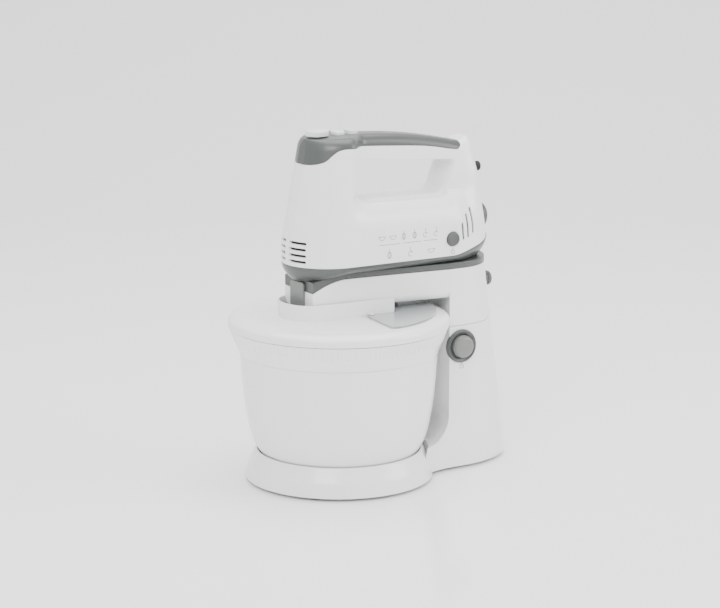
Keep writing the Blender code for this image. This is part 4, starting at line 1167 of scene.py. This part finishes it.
def side_slots(width):
    """Outlines of the three leaning slots towards the rear."""
    rows = (((116.3, 251.5), (118.0, 236.6)), ((123.0, 259.5), (124.6, 238.2)),
            ((130.5, 264.5), (131.4, 241.6)))
    return [capsule(top, bottom, width) for top, bottom in rows]


class MIXER_OT_handset(bpy.types.Operator):
    """White handset housing, with vents, slots and the finger opening"""
    bl_idname = "mixer.handset"
    bl_label = "Handset housing"

    def execute(self, context):
        sizes = context.scene.mixer_sizes
        shell = solid("handset_housing", handset_body(shell_levels()))
        hollow = solid("hollow", handset_body([-0.06] + shell_levels()[1:], SHELL_WALL, CROWN - 2))
        combine(hollow, prism(opening_outline(SHELL_WALL + 0.6), -60, 60, 'Y'))
        combine(shell, hollow)
        combine(shell, opening_tool())
        combine(shell, cap_region(GAP))
        combine(shell, rod(PORT_AT, PORT_BUTTON_R + RUN, -60, -36, 'Y'))
        combine(shell, rod((0, CAP_Z), CAP_R + RUN, 150, REAR_HOLES_END, 'X'))
        gland = (0, middle("cord_gland", "Z"))
        combine(shell, rod(gland, 5 + GAP, 146, REAR_HOLES_END, 'X'))
        for row in range(sizes.vent_count):
            for side in (-1, 1):
                combine(shell, vent_slot(side, VENT_TOP - VENT_PITCH * row, sizes.vent_height / MM))
        for outline in side_slots(sizes.slot_width / MM):
            for low, high in ((-60, -20), (20, 60)):
                combine(shell, prism(outline, low, high, 'Y'))
        settle(shell, "handset", "white_abs", "handset_shell")
        return {'FINISHED'}


class MIXER_OT_shade_sheets(bpy.types.Operator):
    """Dark sheets of painted shade behind the nose vents and the side slots"""
    bl_idname = "mixer.baffles"
    bl_label = "Painted vent shade"

    def execute(self, context):
        # Painted shade: dark matt sheets stand for the shadow inside the vents and slots.
        painted_shade = painted_vent_shade()
        reach = NOSE_R - SHELL_WALL - 0.6
        centre = NOSE_TIP + NOSE_R
        low, high = NOSE_SHADE_Z
        rings = []
        for k in range(25):
            angle = math.pi - math.radians(-38 + 76 * k / 24)
            rings.append([(centre + r * math.cos(angle), r * math.sin(angle), z)
                          for r, z in ((reach - 1.2, low), (reach, low), (reach - 0.8, high),
                                       (reach - 2.0, high))])
        settle(solid("nose_shade_sheet", loft(rings)), "handset", "rubber", material=painted_shade)
        low, high = SLOT_SHADE_Z
        for name, side in (("left", -1), ("right", 1)):
            rings = []
            for x in (111 + 23 * k / 8 for k in range(9)):
                tight = handset_half(x, high, SHELL_WALL + 1.0)
                outer = {z: min(handset_half(x, z, SHELL_WALL + 1.0), tight) for z in (low, high)}
                rings.append([(x, side * (outer[z] - thick), z)
                              for thick, z in ((0, low), (1.2, low), (1.2, high), (0, high))])
            settle(solid("slot_shade_sheet_" + name, loft(rings)), "handset", "rubber", material=painted_shade)
        return {'FINISHED'}


class MIXER_OT_grip(bpy.types.Operator):
    """Dark grip along the top of the handle"""
    bl_idname = "mixer.grip"
    bl_label = "Grip"

    def execute(self, context):
        grip = solid("handle_grip", handset_body(shell_levels(0.5)))
        combine(grip, cap_region(), 'INTERSECT')
        combine(grip, handset_body(shell_levels(0.45), SHELL_WALL, CROWN - 2))
        combine(grip, rod((SELECTOR_X, 0), 4 + RUN, 330, 360))
        for x in (TURBO_X, EJECT_X):
            combine(grip, prism(rounded((x - KEY_HALF[0] - RUN, x + KEY_HALF[0] + RUN),
                                        (-KEY_HALF[1] - RUN, KEY_HALF[1] + RUN), 2), 336, 360))
        settle(grip, "handset", "dark_abs", "grip_cover")
        return {'FINISHED'}


def tray_body(levels, by=0.0, floor=0.0, rise=0.0, count=81):
    """The dark tray under the handset, a boat shape down to the arm's trim."""
    rings = []
    for level in levels:
        tuck = by + (0.0 if by else 8.0 * (1 - level) ** 1.6)
        start, stop = NOSE_TIP + tuck, HANDSET_REAR - tuck
        side = []
        for k in range(count):
            x = start + (stop - start) * (0.5 - 0.5 * math.cos(math.pi * k / (count - 1)))
            low, high = trim_high(x) + 1.5 * GAP + floor, shell_low(x) - GAP + rise
            side.append((x, handset_half(x, SHELL_LOW, tuck), low + (high - low) * level))
        rings.append(side + [(x, -y, z) for x, y, z in reversed(side)])
    return capped(rings)


class MIXER_OT_tray(bpy.types.Operator):
    """Dark tray that closes the handset underneath"""
    bl_idname = "mixer.tray"
    bl_label = "Handset tray"

    def execute(self, context):
        tray = solid("handset_tray", tray_body([k / 12 for k in range(13)]))
        combine(tray, tray_body([0.0, 1.0], TRAY_RIM, 3.0, 12.0))
        for y in (-BEATER_Y, BEATER_Y):
            combine(tray, rod((BEATER_X, y), 7.0, 200, 230))
        settle(tray, "handset", "dark_abs", "handset_bottom")
        return {'FINISHED'}


def knurled(profile, centre, count, depth):
    """A turned profile, grooved down its side between two heights."""
    sides = count * 8
    rings = []
    for radius, z, share in profile:
        rings.append([(centre + r * math.cos(t), r * math.sin(t), z)
                      for t, r in ((a, radius - depth * share * (0.5 - 0.5 * math.cos(count * a)))
                                   for a in (2 * math.pi * i / sides for i in range(sides)))])
    return loft(rings)


class MIXER_OT_keys(bpy.types.Operator):
    """Speed dial, turbo and eject keys, and the attachment button"""
    bl_idname = "mixer.keys"
    bl_label = "Keys and dial"

    def execute(self, context):
        low, high = span("speed_selector", "Z")
        skirt = SHELL_TOP + 0.2
        top = [(SELECTOR_R - 2.2 * (1 - math.cos(t)), high - 2.4 + 2.1 * math.sin(t))
               for t in (math.pi / 2 * k / 8 for k in range(9))]
        dial = solid("speed_dial", knurled(
            [(4, low, 0), (4, skirt, 0), (SELECTOR_R - 0.5, skirt, 0), (SELECTOR_R, skirt + 0.5, 1)]
            + [(r, z, 1 - k / 8) for k, (r, z) in enumerate(top)]
            + [(SELECTOR_R * 0.55, high - 0.15, 0), (0.6, high, 0)], SELECTOR_X, 28, 0.6))
        combine(dial, prism(capsule((SELECTOR_X - SELECTOR_R + 2.4, 0), (SELECTOR_X - 3, 0), 1.2),
                            high - 0.7, high + 2))
        settle(dial, "speed_selector", "pale_abs", "speed_selector")

        for name, x in (("turbo", TURBO_X), ("eject", EJECT_X)):
            high = span(name + "_button", "Z")[1]
            along, across = KEY_HALF
            outline = rounded((x - along, x + along), (-across, across), 1.8)
            key = solid(name + "_key", soft_prism(outline, high - KEY_H, high, 1.4, both=False))
            for k in (-1, 0, 1) if name == "eject" else ():
                groove = capsule((x + 2.2 * k, 2 - across), (x + 2.2 * k, across - 2), 0.7)
                combine(key, prism(groove, high - 0.35, high + 2))
            settle(key, name + "_button", "pale_abs", name + "_button")

        side, back = span("attachment_button", "Y")
        port = turned(filleted([(0, side + 0.5, 0), (PORT_BUTTON_R - 3, side + 0.3, 1),
                                (PORT_BUTTON_R - 0.9, side, 1), (PORT_BUTTON_R, side + 1.6, 0.8),
                                (PORT_BUTTON_R, back - 8, 0), (3, back - 8, 0), (3, back, 0),
                                (0, back, 0)]), 72, PORT_AT, 'Y')
        settle(solid("attachment_key", port), "attachment_button", "dark_abs",
               "attachment_button")
        return {'FINISHED'}


class MIXER_OT_rear(bpy.types.Operator):
    """Cap over the rear port, and the ribbed cord gland"""
    bl_idname = "mixer.rear"
    bl_label = "Rear cap and gland"

    def execute(self, context):
        start, stop = CAP_X
        cap = solid("rear_cap", turned(filleted([
            (0, start, 0), (CAP_R, start, 0.2), (CAP_R, stop - 3.6, 2.4), (CAP_R - 3, stop - 0.3, 2),
            (0, stop, 0)], 8), 112, (0, CAP_Z), 'X'))
        for side in (-1, 1):
            grip = capsule((side * 6.0, CAP_Z - 5.5), (side * 6.0, CAP_Z + 5.5), 2.2)
            combine(cap, prism(grip, stop - 1.2, stop + 3, 'X'))
        settle(cap, "port_cap", "dark_abs", "rear_port_cap")
        start, stop = span("cord_gland", "X")
        height = middle("cord_gland", "Z")
        radius = span("cord_gland", "Y")[1]
        outline = [(radius - 1.6, start), (radius, start)]
        ribs = 4
        for k in range(ribs):
            step = (stop - 8 - start) / ribs
            x = start + 6 + k * step * 0.9
            outline += [(radius, x), (radius, x + 1.0), (radius - 0.8, x + 1.1),
                        (radius - 0.8, x + step * 0.9 - 0.1)]
        outline += [(radius, stop - 1), (radius - 0.4, stop), (radius - 1.6, stop)]
        settle(solid("cord_sleeve", turned(outline, 48, (0, height), 'X')), "handset", "rubber",
               "cord_gland")
        return {'FINISHED'}


# ---------------------------------------------------------------- whisks

def whisk_loop(at, hub, angle, low):
    """One wire loop: down from the hub, round the bottom and up again."""
    path = []
    steps = 56
    for k in range(steps + 1):
        t = math.pi * k / steps
        drop = math.sin(t) ** 0.6 if 0 < k < steps else 0.0
        out = -math.cos(t) * max(2.2, WHISK_R * min(1.0, 0.14 + 1.2 * drop))
        path.append((at[0] + out * math.cos(angle), at[1] + out * math.sin(angle),
                     hub - (hub - low) * drop))
    return tube(path, bpy.context.scene.mixer_sizes.wire_radius / MM)


class MIXER_OT_whisks(bpy.types.Operator):
    """Two wire whisks, with crossed loops, collars and keyed shafts"""
    bl_idname = "mixer.whisks"
    bl_label = "Whisks"

    def execute(self, context):
        hub = WHISK_LOW + WHISK_WIRE_H
        low = WHISK_LOW + context.scene.mixer_sizes.wire_radius / MM
        for name, y in (("left", -BEATER_Y), ("right", BEATER_Y)):
            at = (BEATER_X, y)
            shaft = turned(filleted([(0, hub + 2, 0), (SHAFT_R, hub + 2, 0),
                                     (SHAFT_R, SHAFT_TOP - 7, 0.3), (SHAFT_R - 0.6, SHAFT_TOP - 6.6, 0),
                                     (SHAFT_R - 0.6, SHAFT_TOP - 5.6, 0), (SHAFT_R, SHAFT_TOP - 5.2, 0),
                                     (SHAFT_R, SHAFT_TOP - 2, 0.5), (1.4, SHAFT_TOP, 0.4),
                                     (0, SHAFT_TOP, 0)]), 40, at)
            collar = turned(filleted([(0, hub - 5, 0), (3.2, hub - 5, 0.8), (4.2, hub - 2, 1),
                                      (4.2, hub + 3, 0.8), (3.0, hub + 5, 0.5), (0, hub + 5, 0)]),
                            40, at)
            loops = [whisk_loop(at, hub, math.radians(45 + 90 * k), low + 2.1 * k) for k in (0, 1)]
            whisk = solid("wire_whisk_" + name, merged(shaft, collar, *loops))
            settle(whisk, "beater_" + name, "steel", "whisk_" + name)
        return {'FINISHED'}


# ---------------------------------------------------------------- printed marks

def on_handset(x, z):
    return -handset_half(x, z)


def on_column(x, z):
    return -COLUMN_HALF


def printed(path, width, surface, closed=False):
    """A printed line: a thin strip that follows a path over a side surface."""
    rings = []
    last = len(path) - 1
    for k, (x, z) in enumerate(path):
        a = path[k - 1] if k or closed else path[0]
        b = path[(k + 1) % len(path)] if k < last or closed else path[last]
        dx, dz = b[0] - a[0], b[1] - a[1]
        size = math.hypot(dx, dz) or 1.0
        across = (-dz / size * width / 2, dx / size * width / 2)
        rings.append([(x + s * across[0], surface(x, z) + lift, z + s * across[1])
                      for s, lift in ((-1, 0.05), (1, 0.05), (1, -0.05), (-1, -0.05))])
    if closed:
        points, faces = loft(rings + rings[:1])
        kept = len(points) - 4
        return points[:kept], [[i % kept for i in face] for face in faces[2:]]
    return loft(rings)


def arc(centre, radius, start, stop, steps=16, squash=1.0):
    return [(centre[0] + radius * math.cos(t), centre[1] + radius * squash * math.sin(t))
            for t in (math.radians(start + (stop - start) * k / steps) for k in range(steps + 1))]


def padlock(at, size, width, surface):
    """A small open padlock."""
    x, z = at
    body = rounded((x - size, x + size), (z - size * 0.8, z + size * 0.7), size * 0.25, 3)
    shackle = [(x - size * 0.55, z + size * 0.7)] + \
        [(x + a, z + size * 0.7 + b) for a, b in arc((0, size * 0.55), size * 0.55, 180, 10)]
    return [printed(body, width, surface, True), printed(shackle, width, surface)]


def whisk_sign(at, size, width, surface):
    x, z = at
    return [printed(arc((x, z), size * 0.5, 90, 450, 20, 1.5)[:-1], width, surface, True),
            printed([(x, z + size * 0.75), (x, z + size * 1.5)], width, surface),
            printed(arc((x, z), size * 0.2, 90, 450, 16, 3.6)[:-1], width, surface, True)]


def hook_sign(at, size, width, surface):
    x, z = at
    return [printed(arc((x, z - size * 0.2), size * 0.55, 20, 300, 18), width, surface),
            printed(curve([(x + size * 0.5, z), (x + size * 0.1, z + size * 0.7),
                           (x, z + size * 1.4)], 5), width, surface)]


def bowl_sign(at, size, width, surface):
    x, z = at
    return [printed([(x - size, z + size * 0.4), (x + size, z + size * 0.4)], width, surface),
            printed(arc((x, z + size * 0.4), size * 0.85, 180, 360, 18), width, surface)]


class MIXER_OT_marks(bpy.types.Operator):
    """Printed pictograms beside the keys, with no words"""
    bl_idname = "mixer.marks"
    bl_label = "Printed marks"

    def execute(self, context):
        width = context.scene.mixer_sizes.mark_width / MM
        ink = printed_ink()
        signs = []
        kinds = (bowl_sign, bowl_sign, whisk_sign, whisk_sign, hook_sign, hook_sign)
        for k, sign in enumerate(kinds):
            signs += sign((22.5 + MARKS_HIGH_PITCH * k, MARKS_HIGH_Z), 4.0, width, on_handset)
        for ends in ((19, 43), (46, 67), (70, 86)):
            signs.append(printed([(x, MARKS_LINE_Z) for x in ends], width, on_handset))
        for k, sign in enumerate((whisk_sign, hook_sign, bowl_sign)):
            signs += sign((31 + MARKS_LOW_PITCH * k, MARKS_LOW_Z), 4.2, width, on_handset)
        signs += padlock((PORT_AT[0], PORT_AT[1] - 13.2), 1.9, width, on_handset)
        settle(solid("handset_marks", merged(*signs)), "handset", "grey_abs", material=ink)
        lock = padlock((TILT_AT[0] + 1, TILT_AT[1] - TILT_RING_R - 4.2), 2.0, width, on_column)
        settle(solid("column_mark", merged(*lock)), "stand", "grey_abs", material=ink)
        return {'FINISHED'}


# ---------------------------------------------------------------- the rest

class MIXER_OT_inner(bpy.types.Operator):
    """Gives each CAD node the finish of its slot in the record"""
    bl_idname = "mixer.inner"
    bl_label = "Inner parts"

    def execute(self, context):
        for part in frame["record"]["subparts"]:
            slots = frame["nodes"][part["node"]].data.materials
            slots.clear()
            slots.append(finish(part["material_slot"], context.scene.mixer_colours))
        return {'FINISHED'}


def lamp(name, at, target, size, power):
    """A square soft light aimed at a point."""
    data = bpy.data.lights.new(name, 'AREA')
    data.size, data.energy = size, power
    made = bpy.data.objects.new(name, data)
    bpy.context.scene.collection.objects.link(made)
    made.location = at
    away = made.location - Vector(target)
    made.rotation_euler = away.to_track_quat('Z', 'Y').to_euler()
    return made


class MIXER_OT_stage(bpy.types.Operator):
    """Pale floor and backdrop, soft lights and the camera"""
    bl_idname = "mixer.stage"
    bl_label = "Stage"

    def execute(self, context):
        scene = context.scene
        made, tree, shader, place = blank("pale_acrylic_sheet")
        # A sheet of pale acrylic: smooth, with a soft mirror near the feet.
        shader.inputs["Base Color"].default_value = (*scene.mixer_colours.floor, 1.0)
        cloud = put(tree, "ShaderNodeTexNoise", {"Scale": per_mm(300), "Detail": 2.0},
                    {"Vector": place.outputs["Object"]})
        gloss = put(tree, "ShaderNodeMapRange", {"To Min": 0.12, "To Max": 0.22},
                    {"Value": cloud.outputs["Fac"]})
        tree.links.new(gloss.outputs["Result"], shader.inputs["Roughness"])
        turns = [math.pi / 2 * k / 16 for k in range(1, 17)]
        section = [(FLOOR_NEAR, 0.0), (FLOOR_BEND, 0.0)]
        section += [(FLOOR_BEND + FLOOR_BEND_R * math.sin(t), FLOOR_BEND_R * (1 - math.cos(t)))
                    for t in turns]
        section.append((FLOOR_BEND + FLOOR_BEND_R, BACKDROP_TOP))
        points = [(x, y, z) for y, z in section for x in (-FLOOR_HALF, FLOOR_HALF)]
        faces = [(2 * k, 2 * k + 1, 2 * k + 3, 2 * k + 2) for k in range(len(section) - 1)]
        mesh = bpy.data.meshes.new("floor")
        mesh.from_pydata(points, [], faces)
        mesh.materials.append(made)
        mesh.shade_smooth()
        floor = bpy.data.objects.new("floor", mesh)
        scene.collection.objects.link(floor)
        floor.rotation_euler.z = CAMERA_TURN

        [lamp(name, at, LIT_POINT, size, power) for name, at, size, power in LAMPS]
        world = bpy.data.worlds.new("studio")
        world.use_nodes = True
        sky = world.node_tree.nodes["Background"]
        sky.inputs["Color"].default_value = (1, 1, 1, 1)
        sky.inputs["Strength"].default_value = WORLD_STRENGTH
        scene.world = world

        data = bpy.data.cameras.new("camera")
        data.lens, data.sensor_width = CAMERA_LENS, CAMERA_SENSOR
        data.clip_end = 20.0
        camera = bpy.data.objects.new("camera", data)
        scene.collection.objects.link(camera)
        camera.location = CAMERA_AT
        camera.rotation_euler = (math.pi / 2 - CAMERA_TILT, 0.0, CAMERA_TURN)
        scene.camera = camera
        return {'FINISHED'}


OPERATORS = (MIXER_OT_base, MIXER_OT_feet, MIXER_OT_bowl, MIXER_OT_ring, MIXER_OT_lid,
             MIXER_OT_flap, MIXER_OT_arm, MIXER_OT_knobs, MIXER_OT_handset, MIXER_OT_shade_sheets,
             MIXER_OT_grip, MIXER_OT_tray, MIXER_OT_keys, MIXER_OT_rear, MIXER_OT_whisks,
             MIXER_OT_marks, MIXER_OT_inner, MIXER_OT_stage)


class MIXER_PT_panel(bpy.types.Panel):
    """Lists the settings and the steps that build the mixer"""
    bl_idname = "MIXER_PT_panel"
    bl_label = "Stand Mixer"
    bl_space_type = 'VIEW_3D'
    bl_region_type = 'UI'
    bl_category = "Stand Mixer"

    def draw(self, context):
        for group in (context.scene.mixer_sizes, context.scene.mixer_colours):
            box = self.layout.box()
            for name in group.__annotations__:
                box.prop(group, name)
        for operator in OPERATORS:
            self.layout.operator(operator.bl_idname)


CLASSES = (MixerSizes, MixerColours, *OPERATORS, MIXER_PT_panel)


def register():
    for kind in CLASSES:
        bpy.utils.register_class(kind)
    bpy.types.Scene.mixer_sizes = PointerProperty(type=MixerSizes)
    bpy.types.Scene.mixer_colours = PointerProperty(type=MixerColours)


def unregister():
    del bpy.types.Scene.mixer_colours
    del bpy.types.Scene.mixer_sizes
    for kind in reversed(CLASSES):
        bpy.utils.unregister_class(kind)


def main():
    register()
    for operator in OPERATORS:
        section, name = operator.bl_idname.split(".")
        getattr(getattr(bpy.ops, section), name)()


if __name__ == "__main__":
    main()
